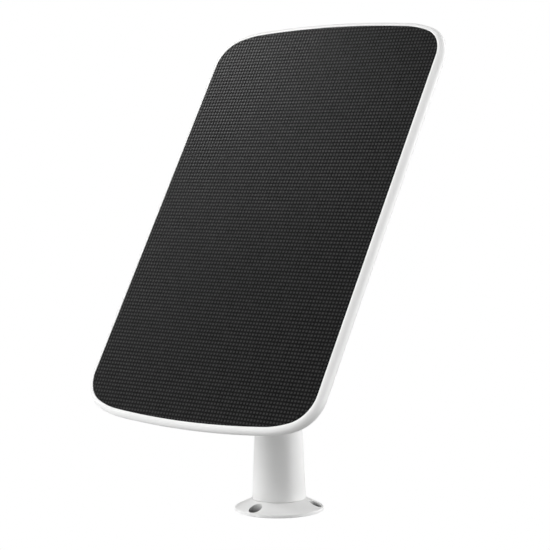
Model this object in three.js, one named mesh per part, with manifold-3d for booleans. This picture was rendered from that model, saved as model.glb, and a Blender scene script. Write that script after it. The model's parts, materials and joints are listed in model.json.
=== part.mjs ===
// Solar charging panel on a swivel stand, in millimetres, +Z up.
//
// The origin is the centre of the foot's underside. The stand's post rises along +Z, the panel
// looks towards -Y and is tipped back, and +X is to the right of someone facing the panel.
// Every piece is a closed solid in its own named mesh. Four motions join them: the post pans on
// the foot, the hinge head tilts on the post, the panel turns on the hinge head, and a rubber
// flap swings on the junction cover.
import * as THREE from 'three';
import { mergeVertices } from 'three/addons/utils/BufferGeometryUtils.js';
import Module from 'manifold-3d';

// ---------------------------------------------------------------- driving dimensions

const GAP = 0.3; // clearance between pieces that touch
const FINE = 0.1; // clearance inside the glued laminate
const OVERLAP = 1; // how far a rib, boss or web reaches into what it grows from
const THROUGH = 40; // a length that takes a bore right through a piece

const FOOT = { radius: 25, rim: 1.6, crown: 6.4, hubRadius: 12.2, hubTop: 11.5 };
const FOOT_HOLE = { count: 3, circle: 20.5, first: 270, seat: 3.8, shank: 2.15, floor: 1.3 };
const PAD = { radius: 17.5, thickness: 0.8, recess: 1.1 };
const FRICTION_RING = { inner: 6.5, outer: 12, thickness: 1 };
const SWIVEL = { spigot: 5, pocket: 10, webBottom: 7 };
const SWIVEL_SCREW = { shank: 2, head: 3.8, bottom: 1.6, headHeight: 2.7, engaged: 4, hex: 1.6 };
const WASHER = { outer: 9.4, thickness: 1, bottom: 4.6 };
const WAVE_WASHER = { inner: 5.6, thickness: 0.8, bottom: 5.9 };
const PLUG = { height: 6, skin: 1, rise: 1.6, slack: 0.5 };

const POST = { foot: 15.2, taper: 0.0473, wall: 2.2, solidTop: 6 };
const FORK = { radius: 9.5, half: 9.5, slotHalf: 4.4, slotDepth: 10.5 };
const BOLT = { shank: 2.4, head: 4.7, headHeight: 2.7, proud: 0.6, short: 0.4, hex: 2.2 };
const BOLT_SEAT = { radius: 5, depth: 2.4 };
const NUT = { radius: 4.55, thickness: 2.5, sink: 0.2, bore: 2.55, seat: 4.9, seatDepth: 3 };
const TILT_WASHER = { outer: 8, inside: 3.3, outside: 4.1 };

const LEAN = THREE.MathUtils.degToRad(31); // height of the panel's normal above the horizon
const FACE = { forward: 12.5, height: 165.9 }; // centre of the panel's front plane
const HUB = { rise: 18, radius: 22, rear: 10.3, bevel: 1.2 };
const HUB_PAD = { inner: 5, outer: 21.4, thickness: 1.2 };
const KNUCKLE = { half: 3 };
/** The web from knuckle to hub, as corners of (rise, depth); the hub end reaches into the hub. */
const WEB = { rear: [-8.5, 3], front: [9, 1], hubRear: -3, hubFront: 10.6 };
const STUD = { shank: 3.1, head: 6, headHeight: 3.6, hex: 2.4, seatGap: 0.2, tipGap: 0.4 };
/** Shares of a round screw head: its crown's radius, its bevel's height, its socket's depth. */
const HEAD_SHARE = { crown: 0.8, bevel: 0.35, socket: 0.6 };

// The panel's outline: straight sides, then a corner arc, a wide shoulder arc and a bowed end.
const SHEET = { halfWidth: 79.7, halfHeight: 124.3, end: 580, shoulder: 57, corner: 18 };
const CORNER_SWEEP = THREE.MathUtils.degToRad(68.5);
const FRAME = { reach: 3, bevel: 2.3, bevelDepth: 3.1, depth: 8.7, floor: 2 };
const LAMINATE = { recess: 0.4, sheet: 0.8, cell: 0.3, board: 1.4, edge: 0.3, gasketGap: 0.15 };
const LEDGE = { depth: 4, inset: 2.4 };
const RIB = { top: 4.1, thickness: 1.6, x: 40, y: 80, endGap: 2, leadGap: 10 };
const BOSS = { insert: 8.5, screw: 3.2, standoff: 2.6 };
const INSERT = { outer: 5, inner: 3.35, bore: 5.2 };

const CELL = { columns: 2, rows: 6, width: 74, height: 33, gap: 1.6 };
const BUS = { width: 2.6, thickness: 0.3, offset: 2.2, link: 103.6, end: 37 };

const COVER = { width: 62, height: 42, y: 46, rise: 8, wall: 2, roof: 1.8, corner: 5, bevel: 1.2,
  block: 7, screwShift: 0.6 };
const COVER_RIM = 0.9; // height of the cover's rim above the panel's back
const COVER_GASKET = { inset: 0.5, width: 8, clearance: 0.15, screwNotch: 3 };
const SCREW = { shank: 1.15, head: 2.4, headHeight: 1.4, length: 10.2, boardLength: 4.6, sink: 0.4,
  pilotSlack: 0.15, clearance: 0.35, skin: 0.6 };
const SCREW_WELL = { mouth: 1.4, root: 0.2, depth: 1.9 };
const CROSS = { length: 2.6, width: 0.6, depth: 0.9 };
const CIRCUIT = { width: 52.8, height: 23, thickness: 1, x: 0.4, depth: 10.2, screwX: 17, screwY: 54 };
const SOCKET = { width: 9, height: 3.2, length: 7.6, wall: 0.3 };
const TONGUE = { halfWidth: 3.3, halfHeight: 0.35, back: 1.2, front: 0.6 };
const PORT = { width: 9.8, height: 3.5, depth: 4, recessWidth: 13.8, recessHeight: 4.8, recessDepth: 1.3 };
const FLAP = { thickness: 1.2, height: 4.3, hingeY: 52, lowY: 39.4, lip: 0.8, grip: 1 };
const LEAD = { radius: 0.8, x: 5, startY: 104, leave: 4, bendY: 90, dropY: 60, running: 5.2 };
const LEAD_SLOT = { y: 40, rise: 1.5, halfWidth: 9, height: 9, approach: 5, sag: 2.6 };

// Distances along the panel's normal from the tilt axis.
const PIVOT_TO_FACE = (FACE.forward + HUB.rise * Math.sin(LEAN)) / Math.cos(LEAN);
const PIVOT_TO_BACK = PIVOT_TO_FACE - FRAME.depth;
const PIVOT_HEIGHT = FACE.height - HUB.rise * Math.cos(LEAN) - PIVOT_TO_FACE * Math.sin(LEAN);

// ---------------------------------------------------------------- materials

const paint = (color, roughness, metalness = 0) =>
  new THREE.MeshStandardMaterial({ color, roughness, metalness });

const MATERIAL = {
  white: paint(0xf2f2f0, 0.42),
  black: paint(0x17181a, 0.5),
  cell: paint(0x101622, 0.3),
  copper: paint(0xc9cdd0, 0.35, 1),
  laminate: paint(0x20242a, 0.6),
  board: paint(0x1c5a34, 0.5),
  chip: paint(0x1a1a1c, 0.6),
  steel: paint(0xb9bcc0, 0.3, 1),
  brass: paint(0xb8934a, 0.35, 1),
  rubber: paint(0x2b2c2e, 0.85),
  nylon: paint(0xdedcd4, 0.6),
  redLead: paint(0xa01c1c, 0.55),
  blackLead: paint(0x161616, 0.55),
};

/** Parts soldered to the circuit board: width, height and thickness, and place on the board. */
const COMPONENTS = [
  { name: 'inductor', size: [7, 7, 3], at: [-6, 0], material: MATERIAL.chip },
  { name: 'regulator_chip', size: [5, 4, 1], at: [5, 1], material: MATERIAL.chip },
  { name: 'blocking_diode', size: [4.4, 2.7, 2.1], at: [-19, -3], material: MATERIAL.chip },
  { name: 'input_capacitor', size: [3.4, 2.6, 2.4], at: [-13.5, -7], material: MATERIAL.nylon },
  { name: 'output_capacitor', size: [3.4, 2.6, 2.4], at: [13.5, -7], material: MATERIAL.nylon },
];

// ---------------------------------------------------------------- solids and booleans

const wasm = await Module();
wasm.setup();

/** A closed geometry as a manifold-3d solid. */
function solid(geometry) {
  const bare = geometry.clone();
  bare.deleteAttribute('normal');
  bare.deleteAttribute('uv');
  const merged = mergeVertices(bare, 1e-3);
  return new wasm.Manifold(
    new wasm.Mesh({
      numProp: 3,
      vertProperties: merged.attributes.position.array,
      triVerts: new Uint32Array(merged.index.array),
    })
  );
}

/** A manifold-3d solid as a geometry with flat normals. */
function geometryOf(made) {
  const mesh = made.getMesh();
  const geometry = new THREE.BufferGeometry();
  geometry.setAttribute('position', new THREE.BufferAttribute(mesh.vertProperties, 3));
  geometry.setIndex(new THREE.BufferAttribute(mesh.triVerts, 1));
  geometry.computeVertexNormals();
  return geometry;
}

/** The body with every geometry in added joined on and every one in removed cut away. */
function carve(body, added, removed) {
  let made = solid(body);
  for (const extra of added) made = made.add(solid(extra));
  for (const tool of removed) made = made.subtract(solid(tool));
  return geometryOf(made);
}

/** A box between two corners. */
function box(x0, x1, y0, y1, z0, z1) {
  const geometry = new THREE.BoxGeometry(x1 - x0, y1 - y0, z1 - z0);
  return geometry.translate((x0 + x1) / 2, (y0 + y1) / 2, (z0 + z1) / 2);
}

/** A box centred on x and y, between two heights. */
function slab(width, height, z0, z1, x = 0, y = 0) {
  return box(x - width / 2, x + width / 2, y - height / 2, y + height / 2, z0, z1);
}

/**
 * A solid of revolution about Z. The profile of [radius, z] points goes up the outside, and it
 * runs from the axis to the axis or is closed here into a loop.
 */
function turned(profile, segments = 24) {
  const points = profile.map(([r, z]) => new THREE.Vector2(r, z));
  if (profile[0][0] > 0) points.push(points[0].clone());
  return new THREE.LatheGeometry(points, segments).rotateX(Math.PI / 2);
}

/** A flat ring about Z, or a disc where the inner radius is 0. */
function ring(inner, outer, z0, z1, segments = 24) {
  return turned([[inner, z0], [outer, z0], [outer, z1], [inner, z1]], segments);
}

/** A disc on the Z axis between two heights, used for bosses and bores. */
function rod(radius, z0, z1, segments = 12, x = 0, y = 0) {
  return ring(0, radius, z0, z1, segments).translate(x, y, 0);
}

/** The same ring turned to lie about X, between two x values. */
function ringX(inner, outer, x0, x1, segments = 24) {
  return ring(inner, outer, x0, x1, segments).rotateY(Math.PI / 2);
}

/** A rectangle with round corners, as a THREE.Shape. */
function roundRect(width, height, radius) {
  const w = width / 2 - radius;
  const h = height / 2 - radius;
  const shape = new THREE.Shape();
  shape.absarc(w, h, radius, 0, Math.PI / 2, false);
  shape.absarc(-w, h, radius, Math.PI / 2, Math.PI, false);
  shape.absarc(-w, -h, radius, Math.PI, Math.PI * 1.5, false);
  shape.absarc(w, -h, radius, Math.PI * 1.5, Math.PI * 2, false);
  shape.closePath();
  return shape;
}

/** A shape pulled straight from z0 to z1. */
function pulled(shape, z0, z1, curveSegments = 3) {
  const geometry = new THREE.ExtrudeGeometry(shape, {
    depth: z1 - z0,
    bevelEnabled: false,
    curveSegments,
  });
  return geometry.translate(0, 0, z0);
}

/** A mesh with its name and material. */
function piece(name, geometry, material) {
  const mesh = new THREE.Mesh(geometry, material);
  mesh.name = name;
  return mesh;
}

// ---------------------------------------------------------------- foot

/** Angles of the foot's screw holes, in radians. */
const footHoleAngles = Array.from({ length: FOOT_HOLE.count }, (_, i) =>
  THREE.MathUtils.degToRad(FOOT_HOLE.first + (360 / FOOT_HOLE.count) * i)
);

function baseFlange() {
  const bearing = SWIVEL.spigot + GAP;
  const body = turned(
    [
      [PAD.radius + GAP, 0],
      [FOOT.radius, 0],
      [FOOT.radius, FOOT.rim],
      [POST.foot, FOOT.crown],
      [FOOT.hubRadius, FOOT.crown],
      [FOOT.hubRadius, FOOT.hubTop],
      [bearing, FOOT.hubTop],
      [bearing, SWIVEL.webBottom],
      [SWIVEL.pocket, SWIVEL.webBottom],
      [SWIVEL.pocket, PAD.recess],
      [PAD.radius + GAP, PAD.recess],
    ],
    48
  );
  const holes = footHoleAngles.flatMap((angle) => {
    const x = FOOT_HOLE.circle * Math.cos(angle);
    const y = FOOT_HOLE.circle * Math.sin(angle);
    return [
      rod(FOOT_HOLE.shank, -1, FOOT.crown, 16, x, y),
      rod(FOOT_HOLE.seat, FOOT_HOLE.floor, FOOT.crown + 1, 20, x, y),
    ];
  });
  return carve(body, [], holes);
}

function footPieces() {
  const { inner, outer, thickness } = FRICTION_RING;
  const bottom = FOOT.hubTop + GAP;
  return [
    piece('base_flange', baseFlange(), MATERIAL.white),
    piece('foot_pad', ring(0, PAD.radius, 0, PAD.thickness, 32), MATERIAL.rubber),
    piece('friction_ring', ring(inner, outer, bottom, bottom + thickness), MATERIAL.nylon),
  ];
}

// ---------------------------------------------------------------- post

const postBottom = FOOT.crown + GAP;
const plugBottom = FOOT.hubTop + PLUG.rise;
const postRadius = (z) => POST.foot - POST.taper * (z - postBottom);
const postBore = (z) => postRadius(z) - POST.wall;

/** The tapered tube, closed at its top by the fork that carries the hinge. */
function postShell() {
  const boreTop = PIVOT_HEIGHT - FORK.radius - POST.solidTop;
  const tube = turned(
    [
      [0, boreTop],
      [postBore(boreTop), boreTop],
      [postBore(postBottom), postBottom],
      [postRadius(postBottom), postBottom],
      [postRadius(PIVOT_HEIGHT), PIVOT_HEIGHT],
      [0, PIVOT_HEIGHT],
    ],
    36
  );
  const across = (geometry) => geometry.translate(0, 0, PIVOT_HEIGHT);
  const barrel = across(ringX(0, FORK.radius, -FORK.half, FORK.half, 32));
  const slot = across(slab(FORK.slotHalf * 2, THROUGH, -FORK.slotDepth, THROUGH));
  const bore = across(ringX(0, BOLT.shank + GAP, -THROUGH, THROUGH, 16));
  const headSeat = across(ringX(0, BOLT_SEAT.radius, FORK.half - BOLT_SEAT.depth, THROUGH, 20));
  const nutSeat = across(ringX(0, NUT.seat, -THROUGH, NUT.seatDepth - FORK.half, 6));
  return carve(tube, [barrel], [slot, bore, headSeat, nutSeat]);
}

/** The plug in the post's foot, with the spigot that turns in the flange. */
function swivelPlug() {
  const top = plugBottom + PLUG.height;
  const spigotBottom = SWIVEL.webBottom - FINE;
  const side = (z) => postBore(z) - PLUG.slack;
  const body = turned([
    [0, spigotBottom],
    [SWIVEL.spigot, spigotBottom],
    [SWIVEL.spigot, plugBottom],
    [side(plugBottom), plugBottom],
    [side(top), top],
    [0, top],
  ]);
  return carve(body, [], [rod(SWIVEL_SCREW.shank + GAP, spigotBottom - 1, top - PLUG.skin, 24)]);
}

/** A round-headed screw along +Z: its head on z0, its shank up to z1, a hex recess below. */
function screwUp({ head, headHeight, shank, hex }, z0, z1) {
  const seat = z0 + headHeight;
  const body = turned(
    [
      [0, z0],
      [head * HEAD_SHARE.crown, z0],
      [head, z0 + headHeight * HEAD_SHARE.bevel],
      [head, seat],
      [shank, seat],
      [shank, z1],
      [0, z1],
    ],
    16
  );
  return carve(body, [], [rod(hex, z0 - 1, z0 + headHeight * HEAD_SHARE.socket, 6)]);
}

function swivelScrew() {
  return screwUp(SWIVEL_SCREW, SWIVEL_SCREW.bottom, plugBottom + SWIVEL_SCREW.engaged);
}

/** The clamp bolt through the fork, head on the +X side with a hex recess. */
function pivotBolt() {
  const bolt = screwUp(BOLT, -FORK.half - BOLT.proud, FORK.half - BOLT.short);
  return bolt.rotateY(-Math.PI / 2).translate(0, 0, PIVOT_HEIGHT);
}

function pivotNut() {
  const outside = NUT.sink - FORK.half;
  const hexagon = ringX(0, NUT.radius, outside, outside + NUT.thickness, 6);
  const nut = carve(hexagon, [], [ringX(0, NUT.bore, -THROUGH, 0, 16)]);
  return nut.translate(0, 0, PIVOT_HEIGHT);
}

/** The washer between the knuckle and one side of the fork. */
function tiltWasher(side) {
  const { outer, inside, outside } = TILT_WASHER;
  const x0 = Math.min(side * inside, side * outside);
  const washer = ringX(BOLT.shank + GAP, outer, x0, x0 + outside - inside, 20);
  return washer.translate(0, 0, PIVOT_HEIGHT);
}

function postPieces() {
  const flat = ring(
    SWIVEL_SCREW.shank + GAP,
    WASHER.outer,
    WASHER.bottom,
    WASHER.bottom + WASHER.thickness
  );
  const wave = ring(
    WAVE_WASHER.inner,
    WASHER.outer,
    WAVE_WASHER.bottom,
    WAVE_WASHER.bottom + WAVE_WASHER.thickness
  );
  return [
    piece('post_shell', postShell(), MATERIAL.white),
    piece('swivel_plug', swivelPlug(), MATERIAL.nylon),
    piece('swivel_screw', swivelScrew(), MATERIAL.steel),
    piece('swivel_washer', flat, MATERIAL.steel),
    piece('wave_washer', wave, MATERIAL.steel),
    piece('pivot_bolt', pivotBolt(), MATERIAL.steel),
    piece('pivot_nut', pivotNut(), MATERIAL.steel),
    piece('tilt_washer_right', tiltWasher(1), MATERIAL.nylon),
    piece('tilt_washer_left', tiltWasher(-1), MATERIAL.nylon),
  ];
}

// ---------------------------------------------------------------- hinge head
// Its frame: origin on the tilt axis, +X as the part, +Y up the panel, +Z along the panel's normal.

const hubFront = PIVOT_TO_BACK - 2 * GAP - HUB_PAD.thickness;

function hingeHead() {
  const disc = turned(
    [
      [0, HUB.rear],
      [HUB.radius - HUB.bevel, HUB.rear],
      [HUB.radius, HUB.rear + HUB.bevel],
      [HUB.radius, hubFront],
      [0, hubFront],
    ],
    40
  ).translate(0, HUB.rise, 0);
  const knuckle = ringX(0, FORK.radius, -KNUCKLE.half, KNUCKLE.half, 32);
  const web = new THREE.Shape();
  web.moveTo(...WEB.rear);
  web.lineTo(WEB.hubRear, HUB.rear + OVERLAP);
  web.lineTo(WEB.hubFront, HUB.rear + OVERLAP);
  web.lineTo(...WEB.front);
  web.closePath();
  const neck = pulled(web, -KNUCKLE.half, KNUCKLE.half);
  // The web is drawn across Y and Z, so its pull direction is turned onto X.
  neck.applyMatrix4(new THREE.Matrix4().makeBasis(
    new THREE.Vector3(0, 1, 0),
    new THREE.Vector3(0, 0, 1),
    new THREE.Vector3(1, 0, 0)
  ));
  const studBore = rod(STUD.shank + GAP, 0, THROUGH, 20, 0, HUB.rise);
  const pivotBore = ringX(0, BOLT.shank + GAP, -THROUGH, THROUGH, 16);
  return carve(disc, [knuckle, neck], [studBore, pivotBore]);
}

/** The stud through the hub: its head behind the hub, its tip in the panel's insert. */
function mountStud() {
  const seat = HUB.rear - STUD.seatGap;
  const tip = PIVOT_TO_FACE - LEDGE.depth - STUD.tipGap;
  return screwUp(STUD, seat - STUD.headHeight, tip).translate(0, HUB.rise, 0);
}

function hingePieces() {
  const rear = hubFront + GAP;
  const pad = ring(HUB_PAD.inner, HUB_PAD.outer, rear, rear + HUB_PAD.thickness, 40);
  return [
    piece('hinge_head', hingeHead(), MATERIAL.white),
    piece('mount_stud', mountStud(), MATERIAL.steel),
    piece('hub_pad', pad.translate(0, HUB.rise, 0), MATERIAL.rubber),
  ];
}

// ---------------------------------------------------------------- panel
// Its frame: origin at the centre of the front plane, +Y up the panel, +Z out of the front.
// Depths below are measured inwards from the front plane, so a depth d lies at z = -d.

/** The panel's outline, moved outwards by an offset. */
function panelOutline(offset) {
  const { halfWidth, halfHeight, end, shoulder, corner } = SHEET;
  const sweep = CORNER_SWEEP;
  const step = shoulder - corner;
  const endY = halfHeight - end;
  // Where the shoulder arc meets the bowed end.
  const meet = Math.acos((halfWidth - corner - step * Math.cos(sweep)) / (end - shoulder));
  const shoulderX = (end - shoulder) * Math.cos(meet);
  const shoulderY = endY + (end - shoulder) * Math.sin(meet);
  const cornerX = shoulderX + step * Math.cos(sweep);
  const cornerY = shoulderY + step * Math.sin(sweep);
  const shape = new THREE.Shape();
  // Each half goes from one side, over its end, to the other side; the second is upside down.
  for (const [way, turn] of [[1, 0], [-1, Math.PI]]) {
    const arc = (x, y, radius, from, to) =>
      shape.absarc(way * x, way * y, radius + offset, turn + from, turn + to, false);
    arc(cornerX, cornerY, corner, 0, sweep);
    arc(shoulderX, shoulderY, shoulder, sweep, meet);
    arc(0, endY, end, meet, Math.PI - meet);
    arc(-shoulderX, shoulderY, shoulder, Math.PI - meet, Math.PI - sweep);
    arc(-cornerX, cornerY, corner, Math.PI - sweep, Math.PI);
  }
  shape.closePath();
  return shape;
}

/** Half of the straight pieces on every arc of the outline. */
const OUTLINE_SEGMENTS = 2;

/** A layer of the panel with the outline's shape, between two depths. */
const layer = (offset, shallow, deep) =>
  pulled(panelOutline(offset), -deep, -shallow, OUTLINE_SEGMENTS);

/** Centres of the junction cover's four screws. */
const coverScrews = [-1, 1].flatMap((sx) =>
  [-1, 1].map((sy) => ({
    x: sx * (COVER.width / 2 - COVER.wall - COVER.block / 2 + COVER.screwShift),
    y: COVER.y + sy * (COVER.height / 2 - COVER.wall - COVER.block / 2 + COVER.screwShift),
  }))
);

/** Centres of the circuit board's two screws. */
const boardScrews = [-1, 1].map((side) => ({
  x: CIRCUIT.x + side * CIRCUIT.screwX,
  y: CIRCUIT.screwY,
}));

const sheetBack = LAMINATE.recess + LAMINATE.sheet;
const cellBack = sheetBack + FINE + LAMINATE.cell;
const boardFront = cellBack + 2 * FINE;
const boardBack = boardFront + LAMINATE.board;
const floorDepth = FRAME.depth - FRAME.floor;

function rearHousing() {
  const body = new THREE.ExtrudeGeometry(panelOutline(FRAME.reach), {
    depth: FRAME.depth - 2 * FRAME.bevelDepth,
    bevelEnabled: true,
    bevelThickness: FRAME.bevelDepth,
    bevelSize: FRAME.bevel,
    bevelOffset: -FRAME.bevel,
    bevelSegments: 4,
    curveSegments: OUTLINE_SEGMENTS,
  }).translate(0, 0, FRAME.bevelDepth - FRAME.depth);
  const pocket = layer(0, -1, LEDGE.depth);
  const hollow = layer(-LEDGE.inset, LEDGE.depth - 1, floorDepth);
  const base = carve(body, [], [pocket, hollow]);

  const root = -floorDepth - OVERLAP;
  const ribLength = 2 * (SHEET.halfHeight - LEDGE.inset - RIB.endGap);
  const reach = SHEET.halfWidth - LEDGE.inset + 1;
  const half = RIB.thickness / 2;
  const ribs = [-1, 1].flatMap((side) => {
    const x0 = Math.min(side * reach, side * RIB.leadGap);
    const x1 = Math.max(side * reach, side * RIB.leadGap);
    return [
      slab(RIB.thickness, ribLength, root, -RIB.top, side * RIB.x, 0),
      box(x0, x1, RIB.y - half, RIB.y + half, root, -RIB.top),
    ];
  });
  const crossRib = slab(2 * reach, RIB.thickness, root, -RIB.top, 0, -RIB.y);
  const insertBoss = rod(BOSS.insert, root, -RIB.top, 20);
  const screwBosses = coverScrews.map(({ x, y }) => rod(BOSS.screw, root, -RIB.top, 12, x, y));
  const standoffs = boardScrews.map(({ x, y }) =>
    rod(BOSS.standoff, -CIRCUIT.depth + FINE, -floorDepth, 12, x, y)
  );

  const pilot = SCREW.shank + SCREW.pilotSlack;
  const insertBore = rod(INSERT.bore, -THROUGH, 0, 20);
  const coverHoles = coverScrews.map(({ x, y }) => rod(pilot, -THROUGH, -RIB.top - SCREW.skin, 10, x, y));
  const boardHoles = boardScrews.map(({ x, y }) =>
    rod(pilot, -THROUGH, -floorDepth - SCREW.skin, 10, x, y)
  );
  const leadSlot = slab(2 * LEAD_SLOT.halfWidth, LEAD_SLOT.height, -THROUGH, 0, 0,
    LEAD_SLOT.y + LEAD_SLOT.rise);
  return carve(
    base,
    [...ribs, crossRib, insertBoss, ...screwBosses, ...standoffs],
    [insertBore, ...coverHoles, ...boardHoles, leadSlot]
  );
}

/** The grid of cells behind the cover sheet, each a thin plate. */
function cellPieces() {
  const pitchX = CELL.width + CELL.gap;
  const pitchY = CELL.height + CELL.gap;
  const front = -(sheetBack + FINE);
  const pieces = [];
  for (let row = 0; row < CELL.rows; row += 1) {
    for (let column = 0; column < CELL.columns; column += 1) {
      const x = (column - (CELL.columns - 1) / 2) * pitchX;
      const y = ((CELL.rows - 1) / 2 - row) * pitchY;
      const number = String(column * CELL.rows + row + 1).padStart(2, '0');
      const plate = slab(CELL.width, CELL.height, front - LAMINATE.cell, front, x, y);
      pieces.push(piece(`cell_${number}`, plate, MATERIAL.cell));
    }
  }
  return pieces;
}

/** The tinned ribbons: one joins the two columns at the bottom, two end the string at the top. */
function ribbonPieces() {
  const front = -(sheetBack + FINE);
  const y = (CELL.rows * (CELL.height + CELL.gap)) / 2 + BUS.offset;
  const endX = BUS.end / 2 + BUS.width;
  const strip = (width, x, height) => slab(width, BUS.width, front - BUS.thickness, front, x, height);
  return [
    piece('bus_ribbon_link', strip(BUS.link, 0, -y), MATERIAL.copper),
    piece('bus_ribbon_positive', strip(BUS.end, -endX, y), MATERIAL.copper),
    piece('bus_ribbon_negative', strip(BUS.end, endX, y), MATERIAL.copper),
  ];
}

/** An insulated wire from the laminate's back, down the hollow and out to the circuit board. */
function lead(side) {
  const shallow = boardBack + LEAD.radius + 0.15;
  const deep = CIRCUIT.depth - GAP;
  const { startY, leave, bendY, dropY, running } = LEAD;
  const route = new THREE.CatmullRomCurve3(
    [
      [startY, shallow],
      [startY - leave, shallow + 0.2],
      [bendY, running],
      [dropY, running],
      [LEAD_SLOT.y + LEAD_SLOT.approach, running + 0.1],
      [LEAD_SLOT.y, running + LEAD_SLOT.sag],
      [LEAD_SLOT.y, deep],
    ].map(([y, depth]) => new THREE.Vector3(side * LEAD.x, y, -depth))
  );
  const section = new THREE.Shape().absarc(0, 0, LEAD.radius, 0, 2 * Math.PI, false);
  return new THREE.ExtrudeGeometry(section, {
    steps: 18,
    curveSegments: 4,
    extrudePath: route,
    bevelEnabled: false,
  });
}

function controllerBoard() {
  const { width, height, x, depth, thickness } = CIRCUIT;
  const holes = boardScrews.map((at) => rod(SCREW.shank + GAP, -THROUGH, 0, 10, at.x, at.y));
  return carve(slab(width, height, -depth - thickness, -depth, x, COVER.y), [], holes);
}

const componentDepth = CIRCUIT.depth + CIRCUIT.thickness + FINE;

/** A part soldered to the circuit board, standing towards the junction cover. */
const component = (width, height, tall, x, y) =>
  slab(width, height, -componentDepth - tall, -componentDepth, x, y);

/** The socket's folded metal shell, open towards +X. */
function outputSocket() {
  const { width, height, length, wall } = SOCKET;
  const mouth = COVER.width / 2 - COVER.wall - GAP;
  const middle = -componentDepth - height / 2;
  const shell = box(mouth - length, mouth, COVER.y - width / 2, COVER.y + width / 2,
    middle - height / 2, middle + height / 2);
  const inside = box(mouth - length + 1, mouth + 1, COVER.y - width / 2 + wall,
    COVER.y + width / 2 - wall, middle - height / 2 + wall, middle + height / 2 - wall);
  return carve(shell, [], [inside]);
}

function socketTongue() {
  const mouth = COVER.width / 2 - COVER.wall - GAP;
  const middle = -componentDepth - SOCKET.height / 2;
  const { halfWidth, halfHeight, back, front } = TONGUE;
  return box(mouth - SOCKET.length + back, mouth - front, COVER.y - halfWidth, COVER.y + halfWidth,
    middle - halfHeight, middle + halfHeight);
}

/** A countersunk screw whose head lies at a depth and whose shank runs towards the front. */
function screwPiece(name, at, headDepth, length) {
  const body = turned(
    [
      [0, -headDepth],
      [SCREW.head, -headDepth],
      [SCREW.shank, -headDepth + SCREW.headHeight],
      [SCREW.shank, -headDepth + length],
      [0, -headDepth + length],
    ],
    12
  );
  const cross = [
    slab(CROSS.length, CROSS.width, -headDepth - 1, -headDepth + CROSS.depth),
    slab(CROSS.width, CROSS.length, -headDepth - 1, -headDepth + CROSS.depth),
  ];
  return piece(name, carve(body, [], cross).translate(at.x, at.y, 0), MATERIAL.steel);
}

const coverRim = FRAME.depth + COVER_RIM;
const coverBack = FRAME.depth + COVER.rise;

/** The junction cover: a shallow lid with solid corners for its screws. */
function junctionCover() {
  const { bevel } = COVER;
  const body = new THREE.ExtrudeGeometry(
    roundRect(COVER.width, COVER.height, COVER.corner),
    {
      depth: coverBack - coverRim - bevel,
      bevelEnabled: true,
      bevelThickness: bevel,
      bevelSize: bevel,
      bevelOffset: -bevel,
      bevelSegments: 2,
      curveSegments: 3,
    }
  );
  body.translate(0, COVER.y, -coverBack + bevel);
  const trim = slab(2 * COVER.width, 2 * COVER.height, -coverRim, 0, 0, COVER.y);
  const inside = slab(
    COVER.width - 2 * COVER.wall,
    COVER.height - 2 * COVER.wall,
    -coverBack + COVER.roof,
    0,
    0,
    COVER.y
  );
  const hollow = carve(inside, [], coverScrews.map(({ x, y }) => {
    const sx = Math.sign(x);
    const sy = Math.sign(y - COVER.y);
    const edgeX = sx * (COVER.width / 2);
    const edgeY = COVER.y + sy * (COVER.height / 2);
    const nearX = edgeX - sx * (COVER.wall + COVER.block);
    const nearY = edgeY - sy * (COVER.wall + COVER.block);
    return box(Math.min(edgeX, nearX), Math.max(edgeX, nearX), Math.min(edgeY, nearY),
      Math.max(edgeY, nearY), -coverBack, 0);
  }));
  const middle = -componentDepth - SOCKET.height / 2;
  const side = COVER.width / 2;
  const recess = slab(2 * PORT.recessDepth, PORT.recessWidth, middle - PORT.recessHeight / 2,
    middle + PORT.recessHeight / 2, side, COVER.y);
  const opening = slab(2 * PORT.depth, PORT.width, middle - PORT.height / 2, middle + PORT.height / 2,
    side, COVER.y);
  const well = [
    [0, -coverBack - 1],
    [SCREW.head + SCREW_WELL.mouth, -coverBack - 1],
    [SCREW.shank + SCREW_WELL.root, -coverBack + SCREW_WELL.depth],
    [0, -coverBack + SCREW_WELL.depth],
  ];
  const screwCuts = coverScrews.flatMap(({ x, y }) => [
    rod(SCREW.shank + SCREW.clearance, -THROUGH, 0, 10, x, y),
    turned(well, 16).translate(x, y, 0),
  ]);
  return carve(body, [], [trim, hollow, recess, opening, ...screwCuts]);
}

function coverGasket() {
  const { inset, width: band, clearance, screwNotch } = COVER_GASKET;
  const width = COVER.width - 2 * inset;
  const height = COVER.height - 2 * inset;
  const outline = roundRect(width, height, COVER.corner - inset);
  const sheet = pulled(outline, -coverRim + clearance, -FRAME.depth - clearance);
  const inner = slab(width - 2 * band, height - 2 * band, -THROUGH, 0);
  const holes = coverScrews.map(({ x, y }) =>
    rod(SCREW.shank + SCREW.clearance, -THROUGH, 0, 10, x, y - COVER.y)
  );
  const notches = boardScrews.map(({ x, y }) => rod(screwNotch, -THROUGH, 0, 10, x, y - COVER.y));
  return carve(sheet, [], [inner, ...holes, ...notches]).translate(0, COVER.y, 0);
}

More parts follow.
